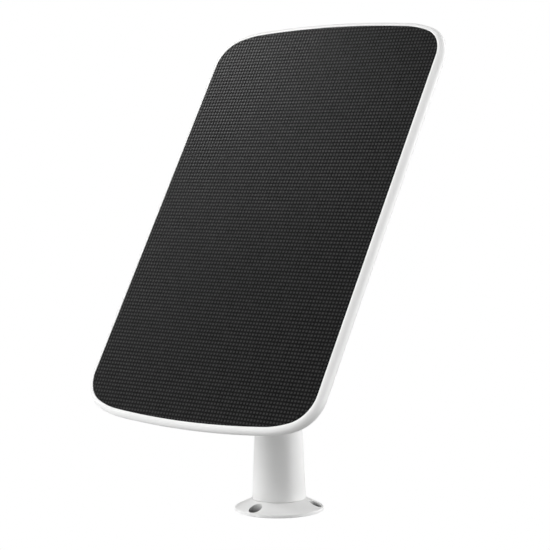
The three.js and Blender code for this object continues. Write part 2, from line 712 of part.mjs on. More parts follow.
function panelPieces() {
  const gasket = carve(
    layer(-LAMINATE.edge - 2 * FINE, boardBack + 2 * FINE, LEDGE.depth - LAMINATE.gasketGap),
    [],
    [layer(-LEDGE.inset, 0, FRAME.depth)]
  );
  const insert = ring(INSERT.inner, INSERT.outer, FINE - FRAME.depth, -LEDGE.depth - 2 * FINE);
  return [
    piece('rear_housing', rearHousing(), MATERIAL.white),
    piece('front_sheet', layer(-LAMINATE.edge, LAMINATE.recess, sheetBack), MATERIAL.black),
    ...cellPieces(),
    ...ribbonPieces(),
    piece('cell_board', layer(-LAMINATE.edge - FINE, boardFront, boardBack), MATERIAL.laminate),
    piece('panel_gasket', gasket, MATERIAL.rubber),
    piece('thread_insert', insert, MATERIAL.brass),
    piece('controller_board', controllerBoard(), MATERIAL.board),
    ...COMPONENTS.map(({ name, size, at, material }) =>
      piece(name, component(...size, at[0], COVER.y + at[1]), material)
    ),
    piece('output_socket', outputSocket(), MATERIAL.steel),
    piece('socket_tongue', socketTongue(), MATERIAL.chip),
    piece('lead_positive', lead(-1), MATERIAL.redLead),
    piece('lead_negative', lead(1), MATERIAL.blackLead),
    piece('junction_cover', junctionCover(), MATERIAL.white),
    piece('cover_gasket', coverGasket(), MATERIAL.rubber),
    ...coverScrews.map((at, i) =>
      screwPiece(`cover_screw_${i + 1}`, at, coverBack - SCREW.sink, SCREW.length)
    ),
    ...boardScrews.map((at, i) =>
      screwPiece(`board_screw_${i + 1}`, at, componentDepth + SCREW.headHeight, SCREW.boardLength)
    ),
  ];
}

// ---------------------------------------------------------------- socket flap

/** The rubber door in the cover's recess, with a lip that fills the socket's opening. */
function portFlap() {
  const middle = -componentDepth - SOCKET.height / 2;
  const side = COVER.width / 2;
  const half = FLAP.height / 2;
  const inner = side - FLAP.thickness;
  const plate = box(inner, side, FLAP.lowY, FLAP.hingeY, middle - half, middle + half);
  const knuckle = ring(0, FLAP.thickness / 2, middle - half, middle + half, 16);
  knuckle.translate(side - FLAP.thickness / 2, FLAP.hingeY, 0);
  const lip = box(inner - FLAP.lip, inner + 0.2, COVER.y - PORT.width / 2 + GAP,
    COVER.y + PORT.width / 2 - GAP, middle - PORT.height / 2 + GAP, middle + PORT.height / 2 - GAP);
  const grip = box(side - 0.2, side + FLAP.lip, FLAP.lowY, FLAP.lowY + FLAP.grip,
    middle - half, middle + half);
  return carve(plate, [knuckle, lip, grip], []);
}

// ---------------------------------------------------------------- assembly

const panel = new THREE.Group();
panel.position.set(0, HUB.rise, PIVOT_TO_FACE);
panel.add(...panelPieces(), piece('port_flap', portFlap(), MATERIAL.rubber));

const head = new THREE.Group();
head.position.set(0, 0, PIVOT_HEIGHT);
head.rotation.x = Math.PI / 2 - LEAN;
head.add(...hingePieces(), panel);

const part = new THREE.Group();
part.add(...footPieces(), ...postPieces(), head);

export default part;
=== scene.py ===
"""Looks of a solar charging panel on its swivel stand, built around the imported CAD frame.

Pieces are drawn in millimetres, each in the frame of the body that it belongs to, and a placing
matrix turns them into metres in the part's own frame:

    FOOT    origin at the centre of the foot's underside, +Z up the post
    PIVOT   origin on the tilt axis, axes as FOOT
    HINGE   origin on the tilt axis, +Y up the panel, +Z along the panel's normal
    PANEL   origin at the centre of the panel's front plane, axes as HINGE

A depth is measured inwards from the panel's front plane, so it lies at z = -depth in PANEL.
"""

import json
import math

import bmesh
import bpy
import numpy as np
from mathutils import Matrix, Vector


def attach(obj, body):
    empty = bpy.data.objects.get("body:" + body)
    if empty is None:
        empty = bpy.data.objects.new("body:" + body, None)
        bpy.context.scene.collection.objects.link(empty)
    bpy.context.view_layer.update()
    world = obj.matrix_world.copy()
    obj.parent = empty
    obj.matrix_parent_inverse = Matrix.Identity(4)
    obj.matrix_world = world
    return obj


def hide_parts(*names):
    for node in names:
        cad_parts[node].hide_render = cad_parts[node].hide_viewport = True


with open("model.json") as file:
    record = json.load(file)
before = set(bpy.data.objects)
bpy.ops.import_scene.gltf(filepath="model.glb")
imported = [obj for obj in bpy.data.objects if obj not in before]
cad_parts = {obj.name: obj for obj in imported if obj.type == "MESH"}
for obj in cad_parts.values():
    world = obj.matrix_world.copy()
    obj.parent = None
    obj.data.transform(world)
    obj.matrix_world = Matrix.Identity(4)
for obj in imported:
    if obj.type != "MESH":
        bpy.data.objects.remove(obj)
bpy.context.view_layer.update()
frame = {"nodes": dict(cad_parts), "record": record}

# ---- sizes, in millimetres

FAR, FARTHER = 20.0, 30.0  # how far the cutters reach past the pieces that they cut

FOOT_RADIUS, FOOT_RIM, FOOT_CROWN = 25.0, 1.6, 6.4
FOOT_HUB_RADIUS, FOOT_HUB_TOP = 12.2, 11.5
FOOT_HOLE_CIRCLE, FOOT_HOLE_SEAT, FOOT_HOLE_SHANK = 20.5, 3.8, 2.7
FOOT_HOLE_FLOOR, FOOT_HOLE_BEVEL = 0.6, 0.7
FOOT_HOLE_ANGLES = (270, 30, 150)
# Painted shade in the foot's screw holes starts this far below the cone's surface and deepens over this
# range.
HOLE_SHADE_START, HOLE_SHADE_RANGE = 0.4, 1.6
PAD_RADIUS, PAD_THICKNESS, PAD_RECESS, PAD_SLACK, PAD_EDGE = 17.5, 0.8, 1.1, 0.3, 0.2
GROOVES, GROOVE_START, GROOVE_WIDTH, GROOVE_DEPTH, GROOVE_SLOPE = 4, 5.0, 1.6, 0.25, 0.3
SPIGOT_BORE, SWIVEL_POCKET, SWIVEL_WEB = 5.3, 10.0, 7.0

POST_FOOT, POST_TAPER, POST_WALL, POST_BOTTOM, POST_SEAM = 15.2, 0.0473, 2.2, 6.7, 0.08
FORK_RADIUS, FORK_HALF, FORK_SLOT_HALF, FORK_SOLID, FORK_SLOT_DROP = 9.5, 9.5, 4.4, 6.0, 1.0
BOLT_RADIUS, BOLT_SLACK, BOLT_LENGTH, BOLT_THREAD, BOLT_PITCH = 2.4, 0.3, 16.5, 0.25, 0.8
BOLT_HEAD, BOLT_HEAD_HEIGHT, BOLT_SOCKET, BOLT_SUNK = 4.7, 2.7, 2.2, 2.1
BOLT_SEAT_RADIUS, BOLT_SEAT_DEPTH = 5.0, 2.4
NUT_RADIUS, NUT_SUNK, NUT_HEIGHT = 4.55, 0.2, 2.5
NUT_CONE_TIP, NUT_CONE_BASE, NUT_CONE_HEIGHT = 4.0, 4.75, 0.9
NUT_SEAT_RADIUS, NUT_SEAT_DEPTH = 4.9, 3.0
SHIM_RADIUS, SHIM_INNER_FACE, SHIM_OUTER_FACE = 8.0, 3.3, 4.1

SHEET_HALF_WIDTH, SHEET_HALF_HEIGHT = 79.7, 124.3
SHEET_END, SHEET_SHOULDER, SHEET_CORNER, CORNER_SWEEP = 580.0, 57.0, 18.0, 68.5
SHEET_RECESS, SHEET_THICKNESS, SHEET_EDGE_GAP = 0.25, 0.8, 0.06
DOT_PITCH, DOT_HEIGHT, DOT_SHOULDER = 2.164, 0.16, 0.27
# Painted shade: how pale the saddles between dots stay; the gaps between rows are kept darker than those
# between columns.
SADDLE_ACROSS, SADDLE_ALONG = 0.25, 0.55

TRAY_DEPTH, TRAY_REACH, TRAY_LIP, LIP_FILLET = 8.7, 3.2, 0.45, 0.25
TRAY_WIDEST, TRAY_BACK_INSET = 3.4, 3.0
TRAY_FLOOR, LEDGE_DEPTH, LEDGE_INSET = 6.7, 4.0, 2.4
FIELD_INSET, FIELD_DROP, HUB_LAND, COVER_LAND = 7.0, 0.4, 4.0, 3.5
RIB_HALF, RIB_X, RIB_Y, RIB_TOP, RIB_END, RIB_ROOT = 0.8, 40.0, 80.0, 4.1, 2.0, 1.0
INSERT_BOSS, INSERT_BORE, SCREW_BOSS, STANDOFF = 8.5, 5.2, 3.2, 2.6
PILOT_SLACK, PILOT_SKIN = 0.15, 0.6
BOARD_X, BOARD_SCREW_X, BOARD_SCREW_Y, BOARD_DEPTH = 0.4, 17.0, 54.0, 10.2
LEAD_GAP, LEAD_SLOT_HALF, LEAD_SLOT_LOW, LEAD_SLOT_HIGH = 10.0, 9.0, 37.0, 46.0

HUB_RADIUS, HUB_REAR, HUB_RISE, HUB_GAP = 22.0, 10.3, 18.0, 0.3
HUB_PAD, HUB_PAD_INSET, HUB_PAD_BORE = 1.2, 0.6, 5.0
KNUCKLE_HALF, STUD_RADIUS, STUD_SLACK, STUD_THREAD, STUD_PITCH = 3.0, 3.1, 0.3, 0.4, 1.27
STUD_HEAD, STUD_HEAD_HEIGHT, STUD_SOCKET, STUD_SEAT_GAP, STUD_TIP_GAP = 6.0, 3.6, 2.4, 0.2, 0.4

COVER_WIDTH, COVER_HEIGHT, COVER_Y, COVER_CORNER, COVER_WALL = 62.0, 42.0, 46.0, 5.0, 2.0
COVER_RIM, COVER_BACK, COVER_BLOCK, COVER_SKIN, COVER_BEVEL = 9.6, 16.7, 7.0, 1.8, 1.8
INSET_WIDTH, INSET_HEIGHT, INSET_CORNER, INSET_DEPTH = 34.0, 22.0, 3.0, 0.35
WELL_RADIUS, WELL_TAPER, WELL_SEAT, WELL_FLOOR, WELL_SLACK = 2.9, 0.2, 0.5, 1.9, 0.3
GASKET_INSET, GASKET_WIDTH, GASKET_SQUEEZE = 0.5, 8.5, 0.15
PORT_DEPTH, PORT_WIDTH, PORT_HEIGHT, PORT_LENGTH, PORT_CORNER = 12.9, 9.8, 3.5, 8.0, 1.2
RECESS_WIDTH, RECESS_HEIGHT, RECESS_DEPTH, RECESS_CORNER = 13.8, 4.8, 1.3, 0.6
FLAP_THICKNESS, FLAP_HEIGHT, FLAP_LOW, FLAP_HINGE, FLAP_CORNER = 1.2, 4.3, 39.4, 52.0, 0.7
PLUG_LIP, PLUG_SLACK, PULL_REACH, PULL_WIDTH = 0.8, 0.6, 0.8, 1.0
SCREW_HEAD, SCREW_SHANK, SCREW_SHIFT, SCREW_LENGTH, SCREW_SUNK = 2.4, 1.15, 0.6, 10.2, 0.4

# ---- placing

MM = 0.001
joints = {joint["name"]: joint for joint in frame["record"]["behaviour"]["joints"]}
pivot = Vector(joints["panel_tilt"]["pos_m"])
face_centre = Vector(joints["panel_turn"]["pos_m"])
normal = Vector(joints["panel_turn"]["axis"]).normalized()
right = Vector((1, 0, 0))
upward = normal.cross(right)


def placing(origin, x_axis, y_axis, z_axis):
    """The matrix that takes millimetres in a frame to metres in the part's frame."""
    turn = Matrix((x_axis, y_axis, z_axis)).transposed().to_4x4()
    return Matrix.Translation(origin) @ turn @ Matrix.Scale(MM, 4)


FOOT = Matrix.Scale(MM, 4)
PIVOT = Matrix.Translation(pivot) @ Matrix.Scale(MM, 4)
HINGE = placing(pivot, right, upward, normal)
PANEL = placing(face_centre, right, upward, normal)
PIVOT_HEIGHT = pivot.z / MM
PIVOT_TO_FACE = (face_centre - pivot).dot(normal) / MM
HUB_FRONT = PIVOT_TO_FACE - TRAY_DEPTH - HUB_PAD - 2 * HUB_GAP

# ---- mesh tools


def new_object(name, verts, faces):
    """An object from points and faces, with consistent outward normals."""
    mesh = bpy.data.meshes.new(name)
    mesh.from_pydata([tuple(v) for v in verts], [], [tuple(f) for f in faces])
    work = bmesh.new()
    work.from_mesh(mesh)
    bmesh.ops.recalc_face_normals(work, faces=work.faces)
    work.to_mesh(mesh)
    work.free()
    made = bpy.data.objects.new(name, mesh)
    bpy.context.scene.collection.objects.link(made)
    return made


def settle(made):
    """Applies the object's modifiers to its mesh."""
    graph = bpy.context.evaluated_depsgraph_get()
    old = made.data
    made.data = bpy.data.meshes.new_from_object(made.evaluated_get(graph))
    made.modifiers.clear()
    bpy.data.meshes.remove(old)
    return made


def combine(made, others, operation):
    """Joins or cuts the object with others, which are used up."""
    for other in others:
        modifier = made.modifiers.new("combine", "BOOLEAN")
        modifier.operation = operation
        modifier.solver = "EXACT"
        modifier.object = other
        settle(made)
        bpy.data.objects.remove(other)
    return made


def cut(made, *others):
    return combine(made, others, "DIFFERENCE")


def join(made, *others):
    return combine(made, others, "UNION")


def soften(made, width, segments=2, angle=38):
    """Rounds the edges that are sharper than the angle."""
    modifier = made.modifiers.new("soften", "BEVEL")
    modifier.width = width
    modifier.segments = segments
    modifier.limit_method = "ANGLE"
    modifier.angle_limit = math.radians(angle)
    modifier.use_clamp_overlap = True
    modifier.miter_outer = "MITER_ARC"
    return settle(made)


def shade(made, angle=32):
    """Smooth shading with creases past the angle and normals that favour the large faces."""
    made.data.shade_smooth()
    made.data.set_sharp_from_angle(angle=math.radians(angle))
    modifier = made.modifiers.new("normals", "WEIGHTED_NORMAL")
    modifier.keep_sharp = True
    modifier.weight = 80
    return made


def put(made, place, body, stands_for, material):
    """Places a finished piece: in metres, on its body, standing for its CAD nodes."""
    made.data.transform(place)
    made.data.materials.clear()
    made.data.materials.append(material)
    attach(made, body)
    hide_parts(*stands_for)
    return made


def arc(centre_x, centre_y, radius, start, end, steps):
    """Points along an arc, angles in degrees."""
    angles = [math.radians(start + (end - start) * k / steps) for k in range(steps + 1)]
    return [(centre_x + radius * math.cos(a), centre_y + radius * math.sin(a)) for a in angles]


def filleted(points, radius, steps=4, closed=True):
    """The outline with its corners rounded; a radius may be one number or one per corner."""
    count = len(points)
    radii = [radius] * count if isinstance(radius, (int, float)) else list(radius)
    made = []
    for k, here in enumerate(points):
        if radii[k] == 0 or (not closed and k in (0, count - 1)):
            made.append(here)
            continue
        here = Vector(here)
        back = Vector(points[k - 1]) - here
        on = Vector(points[(k + 1) % count]) - here
        half = back.angle(on) / 2
        reach = min(radii[k] / math.tan(half), 0.49 * back.length, 0.49 * on.length)
        first, last = here + back.normalized() * reach, here + on.normalized() * reach
        inward = (back.normalized() + on.normalized()).normalized()
        centre = here + inward * (reach / math.cos(half))
        size = (first - centre).length
        for step in range(steps + 1):
            spoke = first.lerp(last, step / steps) - centre
            made.append(tuple(centre + spoke.normalized() * size))
    return made


def loft(name, rings, first_cap=True, last_cap=True, closed=False):
    """Skins rings of equal length, with flat caps or the last ring joined to the first."""
    size = len(rings[0])
    verts = [point for ring in rings for point in ring]
    pairs = [(k, k + 1) for k in range(len(rings) - 1)]
    if closed:
        pairs.append((len(rings) - 1, 0))
    faces = []
    for low, high in pairs:
        for k in range(size):
            after = (k + 1) % size
            faces.append((low * size + k, low * size + after, high * size + after, high * size + k))
    if not closed and first_cap:
        faces.append(range(size))
    if not closed and last_cap:
        faces.append(range((len(rings) - 1) * size, len(rings) * size))
    return new_object(name, verts, faces)


def lathe(name, profile, segments=96, axis="Z"):
    """Turns a profile of (radius, height). It is a loop, or runs from the axis to the axis."""
    turn = [2 * math.pi * k / segments for k in range(segments)]
    verts, rings = [], []
    for radius, height in profile:
        if radius < 1e-6:
            rings.append([len(verts)] * segments)
            verts.append((0, 0, height))
        else:
            rings.append(list(range(len(verts), len(verts) + segments)))
            verts += [(radius * math.cos(a), radius * math.sin(a), height) for a in turn]
    on_axis = profile[0][0] < 1e-6
    pairs = list(zip(rings, rings[1:])) + ([] if on_axis else [(rings[-1], rings[0])])
    faces = []
    for low, high in pairs:
        for k in range(segments):
            after = (k + 1) % segments
            corners = [low[k], low[after], high[after], high[k]]
            faces.append(tuple(dict.fromkeys(corners)))
    made = new_object(name, verts, [f for f in faces if len(f) > 2])
    if axis == "X":
        made.data.transform(Matrix.Rotation(math.pi / 2, 4, "Y"))
    return made


def rod(name, radius, low, high, segments=48, axis="Z"):
    """A plain round bar, used as a cutter."""
    return lathe(name, [(0, low), (radius, low), (radius, high), (0, high)], segments, axis)


def rod_at(name, radius, low, high, x, y):
    """A small upright bar at a place in the panel's plane, used for bosses and holes."""
    return moved(rod(name, radius, low, high, 24), x, y)


def arcs_outline(arcs):
    """A function of an offset: the outline made of these arcs, moved outwards by it."""

    def outline(offset=0.0):
        points = []
        for x, y, radius, start, end, steps in arcs:
            points += arc(x, y, radius + offset, start, end, steps)
        return points

    return outline


def round_rect(width, height, radius, steps=10):
    x, y = width / 2 - radius, height / 2 - radius
    centres = ((x, y), (-x, y), (-x, -y), (x, -y))
    return arcs_outline(
        [(cx, cy, radius, 90 * k, 90 * k + 90, steps) for k, (cx, cy) in enumerate(centres)]
    )


def prism(name, outline, low, high, low_fillet=0.0, high_fillet=0.0, steps=5):
    """An outline pulled from one height to another, with rounded rims."""
    levels = []
    for k in range(steps + 1 if low_fillet else 1):
        angle = math.pi / 2 * k / steps
        levels.append((-low_fillet * (1 - math.sin(angle)), low + low_fillet * (1 - math.cos(angle))))
    for k in range(steps + 1 if high_fillet else 1):
        angle = math.pi / 2 * k / steps
        levels.append((-high_fillet * (1 - math.cos(angle)), high - high_fillet * (1 - math.sin(angle))))
    return loft(name, [[(x, y, z) for x, y in outline(offset)] for offset, z in levels])


def block(name, x0, x1, y0, y1, z0, z1, fillet=0.0):
    """A box between two corners, with rounded upright edges where a fillet is given."""
    if not fillet:
        verts = [(x, y, z) for z in (z0, z1) for x, y in ((x0, y0), (x1, y0), (x1, y1), (x0, y1))]
        faces = [(3, 2, 1, 0), (4, 5, 6, 7)] + [
            (k, (k + 1) % 4, (k + 1) % 4 + 4, k + 4) for k in range(4)
        ]
        return new_object(name, verts, faces)
    made = prism(name, round_rect(x1 - x0, y1 - y0, fillet, 4), z0, z1)
    made.data.transform(Matrix.Translation(((x0 + x1) / 2, (y0 + y1) / 2, 0)))
    return made


def moved(made, x=0.0, y=0.0, z=0.0):
    made.data.transform(Matrix.Translation((x, y, z)))
    return made


# ---- materials


class Shader:
    """A material's node tree, with short calls for the nodes used here."""

    def __init__(self, name):
        self.material = bpy.data.materials.new(name)
        self.material.use_nodes = True
        self.nodes = self.material.node_tree.nodes
        self.links = self.material.node_tree.links
        self.surface = self.nodes["Principled BSDF"]
        self.place = self.nodes.new("ShaderNodeTexCoord").outputs["Object"]

    def set(self, **values):
        for key, value in values.items():
            self.surface.inputs[key.replace("_", " ")].default_value = value

    def noise(self, scale, detail=3.0, roughness=0.55, stretch=None):
        """Noise in the part's own metres; stretch scales its axes."""
        node = self.nodes.new("ShaderNodeTexNoise")
        node.inputs["Scale"].default_value = scale
        node.inputs["Detail"].default_value = detail
        node.inputs["Roughness"].default_value = roughness
        source = self.place
        if stretch:
            mapping = self.nodes.new("ShaderNodeMapping")
            mapping.inputs["Scale"].default_value = stretch
            self.links.new(source, mapping.inputs["Vector"])
            source = mapping.outputs["Vector"]
        self.links.new(source, node.inputs["Vector"])
        return node.outputs["Fac"]

    def attribute(self, name):
        node = self.nodes.new("ShaderNodeAttribute")
        node.attribute_name = name
        return node.outputs["Fac"]

    def ramp(self, source, stops):
        """A colour ramp; each stop is (position, grey) or (position, (r, g, b))."""
        node = self.nodes.new("ShaderNodeValToRGB")
        ramp = node.color_ramp
        while len(ramp.elements) < len(stops):
            ramp.elements.new(0.5)
        for element, (position, colour) in zip(ramp.elements, stops):
            colour = (colour,) * 3 if isinstance(colour, (int, float)) else colour
            element.position = position
            element.color = (*colour, 1)
        self.links.new(source, node.inputs["Fac"])
        return node.outputs["Color"]

    def mix(self, factor, source, colour):
        """The source's colour, replaced by an even colour as the factor rises."""
        node = self.nodes.new("ShaderNodeMix")
        node.data_type = "RGBA"
        self.links.new(factor, node.inputs[0])
        self.links.new(source, node.inputs[6])
        node.inputs[7].default_value = (*colour, 1)
        return node.outputs[2]

    def scaled(self, source, factor):
        node = self.nodes.new("ShaderNodeMath")
        node.operation = "MULTIPLY"
        self.links.new(source, node.inputs[0])
        node.inputs[1].default_value = factor
        return node.outputs[0]

    def bump(self, height, strength, distance):
        node = self.nodes.new("ShaderNodeBump")
        node.inputs["Strength"].default_value = strength
        node.inputs["Distance"].default_value = distance
        self.links.new(height, node.inputs["Height"])
        self.links.new(node.outputs["Normal"], self.surface.inputs["Normal"])

    def feed(self, socket, source):
        self.links.new(source, self.surface.inputs[socket])


WHITE_LOW, WHITE_HIGH = (0.80, 0.80, 0.795), (0.84, 0.84, 0.835)
# Painted shade: the grey mixed into the foot's colour deep in its screw holes.
HOLE_SHADE_GREY = (0.18, 0.18, 0.18)


def moulded_plastic(name, dark, light, rough=(0.4, 0.5), dust_and_shade=""):
    """Injection-moulded plastic: a fine spark-eroded grain, faint flow tone and uneven sheen.

    The attribute named by the last argument says how much painted shade darkens the colour at each point;
    the foot uses it deep in its screw holes.
    """
    shader = Shader(name)
    colour = shader.ramp(shader.noise(24, 4.0), [(0.3, dark), (0.7, light)])
    if dust_and_shade:
        # Painted shade: the colour turns grey where the attribute is high.
        colour = shader.mix(shader.attribute(dust_and_shade), colour, HOLE_SHADE_GREY)
    shader.feed("Base Color", colour)
    shader.feed("Roughness", shader.ramp(shader.noise(140), [(0.3, rough[0]), (0.7, rough[1])]))
    shader.bump(shader.noise(2600, 2.0, 0.6), 0.16, 0.00004)
    shader.set(IOR=1.5)
    return shader.material


def embossed_sheet():
    """The black cover sheet: satin laminate whose dots are a little paler, with painted shade darkening
    the grooves, more between rows than between columns.
    """
    shader = Shader("embossed_black_sheet")
    relief = shader.attribute("relief")
    tone = shader.attribute("tone")
    # Paler dot tops, and painted shade that darkens the grooves, deepest where they cross.
    level = shader.ramp(relief, [(0.0, 0.0002), (0.5, 0.001), (0.8, 0.008), (1.0, 0.026)])
    shader.feed("Base Color", shader.mix(shader.scaled(tone, 0.15), level, (0.045,) * 3))
    shader.feed("Roughness", shader.ramp(relief, [(0.0, 0.3), (1.0, 0.25)]))
    shader.bump(shader.noise(5200, 2.0), 0.2, 0.00003)
    shader.set(IOR=1.15)
    return shader.material


def elastomer(name):
    """Matt rubber with a dusty, slightly uneven surface."""
    shader = Shader(name)
    dust_and_shade = shader.noise(420, 5.0, 0.6)
    shader.feed("Base Color", shader.ramp(dust_and_shade, [(0.35, 0.022), (0.75, 0.0418)]))
    shader.feed("Roughness", shader.ramp(dust_and_shade, [(0.3, 0.72), (0.7, 0.86)]))
    shader.bump(shader.noise(3000, 2.0), 0.3, 0.00005)
    return shader.material


def bright_metal(name, base, stretch):
    """Plated or turned metal: drawn lines along one axis and a mottled sheen."""
    shader = Shader(name)
    mottle = shader.noise(260, 4.0)
    pale = tuple(1.18 * level for level in base)
    shader.feed("Base Color", shader.ramp(mottle, [(0.3, base), (0.7, pale)]))
    lines = shader.noise(1800, 2.0, 0.5, stretch)
    shader.feed("Roughness", shader.ramp(lines, [(0.3, 0.24), (0.7, 0.40)]))
    shader.bump(lines, 0.12, 0.00003)
    shader.set(Metallic=1.0)
    return shader.material


def printed_board(name, mask, trace):
    """A circuit board: solder mask over a faint pattern of copper."""
    shader = Shader(name)
    pattern = shader.noise(500, 1.0, 0.3, (1, 4, 1))
    shader.feed("Base Color", shader.ramp(pattern, [(0.47, mask), (0.5, trace)]))
    shader.feed("Roughness", shader.ramp(shader.noise(900, 2.0), [(0.3, 0.3), (0.7, 0.42)]))
    return shader.material


def solar_silicon():
    """Dark blue-black silicon with fine printed fingers across it."""
    shader = Shader("solar_cell_silicon")
    wave = shader.nodes.new("ShaderNodeTexWave")
    wave.inputs["Scale"].default_value = 180
    wave.bands_direction = "X"
    shader.links.new(shader.place, wave.inputs["Vector"])
    silicon, finger = (0.012, 0.018, 0.05), (0.3, 0.31, 0.34)
    lines = shader.ramp(wave.outputs["Fac"], [(0.86, silicon), (0.95, finger)])
    shader.feed("Base Color", lines)
    shader.feed("Roughness", shader.ramp(shader.noise(300, 2.0), [(0.3, 0.16), (0.7, 0.26)]))
    return shader.material


def make_materials():
    loose = (0.5, 0.6)
    firm = (0.35, 0.45)
    return {
        "white": moulded_plastic("white_moulded_plastic", WHITE_LOW, WHITE_HIGH),
        # The foot's colour is darkened deep in its screw holes as painted shade.
        "foot": moulded_plastic("white_plastic_foot", WHITE_LOW, WHITE_HIGH, dust_and_shade="depth"),
        "sheet": embossed_sheet(),
        "rubber": elastomer("black_rubber"),
        "steel": bright_metal("plated_steel", (0.60, 0.61, 0.63), (1, 1, 6)),
        "nylon": moulded_plastic("natural_nylon", (0.66, 0.65, 0.6), (0.72, 0.71, 0.67), loose),
        "brass": bright_metal("turned_brass", (0.66, 0.48, 0.2), (1, 1, 8)),
        "tin": bright_metal("tinned_copper", (0.7, 0.71, 0.72), (6, 1, 1)),
        "silicon": solar_silicon(),
        "laminate": moulded_plastic(
            "dark_laminate", (0.03, 0.034, 0.038), (0.045, 0.05, 0.055), loose
        ),
        "board": printed_board("green_solder_mask", (0.008, 0.10, 0.035), (0.02, 0.17, 0.06)),
        "chip": moulded_plastic("component_black", (0.012, 0.012, 0.013), (0.022, 0.022, 0.023)),
        "ceramic": moulded_plastic("component_ceramic", (0.36, 0.24, 0.14), (0.46, 0.32, 0.2)),
        "red": moulded_plastic("red_insulation", (0.30, 0.012, 0.012), (0.38, 0.02, 0.018), firm),
        "wire_black": moulded_plastic("black_insulation", (0.01,) * 3, (0.018,) * 3, firm),
    }


# ---- the foot


def build_flange():
    """The round foot: a low cone with a thin upright rim and three counterbored screw holes."""
    profile = [
        (PAD_RADIUS + PAD_SLACK, 0),
        (FOOT_RADIUS, 0),
        (FOOT_RADIUS, FOOT_RIM),
        (POST_FOOT, FOOT_CROWN),
        (FOOT_HUB_RADIUS, FOOT_CROWN),
        (FOOT_HUB_RADIUS, FOOT_HUB_TOP),
        (SPIGOT_BORE, FOOT_HUB_TOP),
        (SPIGOT_BORE, SWIVEL_WEB),
        (SWIVEL_POCKET, SWIVEL_WEB),
        (SWIVEL_POCKET, PAD_RECESS),
        (PAD_RADIUS + PAD_SLACK, PAD_RECESS),
    ]
    radii = [0.15, 0.3, 0.8, 0.3, 0.3, 0.5, 0.3, 0.3, 0.3, 0.3, 0.2]
    flange = lathe("foot_flange", filleted(profile, radii, 5), 160)
    hole = [
        (0, -1),
        (FOOT_HOLE_SHANK, -1),
        (FOOT_HOLE_SHANK, FOOT_HOLE_FLOOR),
        (FOOT_HOLE_SEAT - FOOT_HOLE_BEVEL, FOOT_HOLE_FLOOR),
        (FOOT_HOLE_SEAT, FOOT_HOLE_FLOOR + FOOT_HOLE_BEVEL),
        (FOOT_HOLE_SEAT, 9),
        (0, 9),
    ]
    for angle in map(math.radians, FOOT_HOLE_ANGLES):
        centre = FOOT_HOLE_CIRCLE * Vector((math.cos(angle), math.sin(angle)))
        cut(flange, moved(lathe("hole", hole, 56), *centre))
    return soften(flange, 0.28, 3)


def build_foot_pad():
    """The sealing pad: a rubber disc with shallow concentric grooves underneath."""
    profile = [(0, 0)]
    for k in range(GROOVES):
        start = GROOVE_START + 2 * k * GROOVE_WIDTH
        end = start + GROOVE_WIDTH
        profile += [(start, 0), (start + GROOVE_SLOPE, GROOVE_DEPTH)]
        profile += [(end - GROOVE_SLOPE, GROOVE_DEPTH), (end, 0)]
    profile += [(PAD_RADIUS - PAD_EDGE, 0), (PAD_RADIUS, PAD_EDGE)]
    profile += [(PAD_RADIUS, PAD_THICKNESS), (0, PAD_THICKNESS)]
    return lathe("sealing_pad", profile, 96)


def paint_depth(mesh):
    """Stores how deep each point of the flange lies in a screw hole, where its colour is darkened as
    painted shade.
    """
    slope = (FOOT_CROWN - FOOT_RIM) / (FOOT_RADIUS - POST_FOOT)
    centres = [
        FOOT_HOLE_CIRCLE * Vector((math.cos(math.radians(a)), math.sin(math.radians(a))))
        for a in FOOT_HOLE_ANGLES
    ]
    attribute = mesh.attributes.new("depth", "FLOAT", "POINT")
    for vert, held in zip(mesh.vertices, attribute.data):
        near = min((vert.co.xy - centre).length for centre in centres)
        surface = FOOT_RIM + slope * (FOOT_RADIUS - vert.co.xy.length)
        sunk = (surface - vert.co.z - HOLE_SHADE_START) / HOLE_SHADE_RANGE
        held.value = min(max(sunk, 0), 1) if near < FOOT_HOLE_SEAT + 0.1 else 0


def add_foot(paint):
    flange = build_flange()
    paint_depth(flange.data)
    put(shade(flange), FOOT, "foot", ["base_flange"], paint["foot"])
    put(shade(build_foot_pad()), FOOT, "foot", ["foot_pad"], paint["rubber"])


# ---- the post


def post_radius(height):
    return POST_FOOT - POST_TAPER * (height - POST_BOTTOM)


def build_post():
    """The tapered tube with a barrel-shaped fork across its top."""
    bore_top = PIVOT_HEIGHT - FORK_RADIUS - FORK_SOLID
    bottom = FOOT_CROWN + POST_SEAM
    profile = [
        (post_radius(POST_BOTTOM) - POST_WALL, bottom),
        (post_radius(POST_BOTTOM), bottom),
        (post_radius(PIVOT_HEIGHT), PIVOT_HEIGHT),
        (0, PIVOT_HEIGHT),
    ]
    outer = filleted(profile, [0.3, 0.35, 0, 0], 5, closed=False)
    inner = [(0, bore_top), (post_radius(bore_top) - POST_WALL, bore_top)]
    tube = lathe("post_tube", [(0, PIVOT_HEIGHT)] + outer[::-1][1:] + inner[::-1], 160)
    barrel_line = [
        (0, -FORK_HALF),
        (FORK_RADIUS, -FORK_HALF),
        (FORK_RADIUS, FORK_HALF),
        (0, FORK_HALF),
    ]
    barrel = lathe("barrel", filleted(barrel_line, 1.3, 8, closed=False), 128, "X")
    join(tube, moved(barrel, z=PIVOT_HEIGHT))
    slot_floor = -FORK_RADIUS - FORK_SLOT_DROP
    cutters = [
        block("slot", -FORK_SLOT_HALF, FORK_SLOT_HALF, -FARTHER, FARTHER, slot_floor, FARTHER),
        rod("bore", BOLT_RADIUS + BOLT_SLACK, -FAR, FAR, 48, "X"),
        rod("seat", BOLT_SEAT_RADIUS, FORK_HALF - BOLT_SEAT_DEPTH, FAR, 64, "X"),
        rod("nut_seat", NUT_SEAT_RADIUS, -FAR, NUT_SEAT_DEPTH - FORK_HALF, 6, "X"),
    ]
    cut(tube, *[moved(cutter, z=PIVOT_HEIGHT) for cutter in cutters])
    return soften(tube, 0.35, 3)


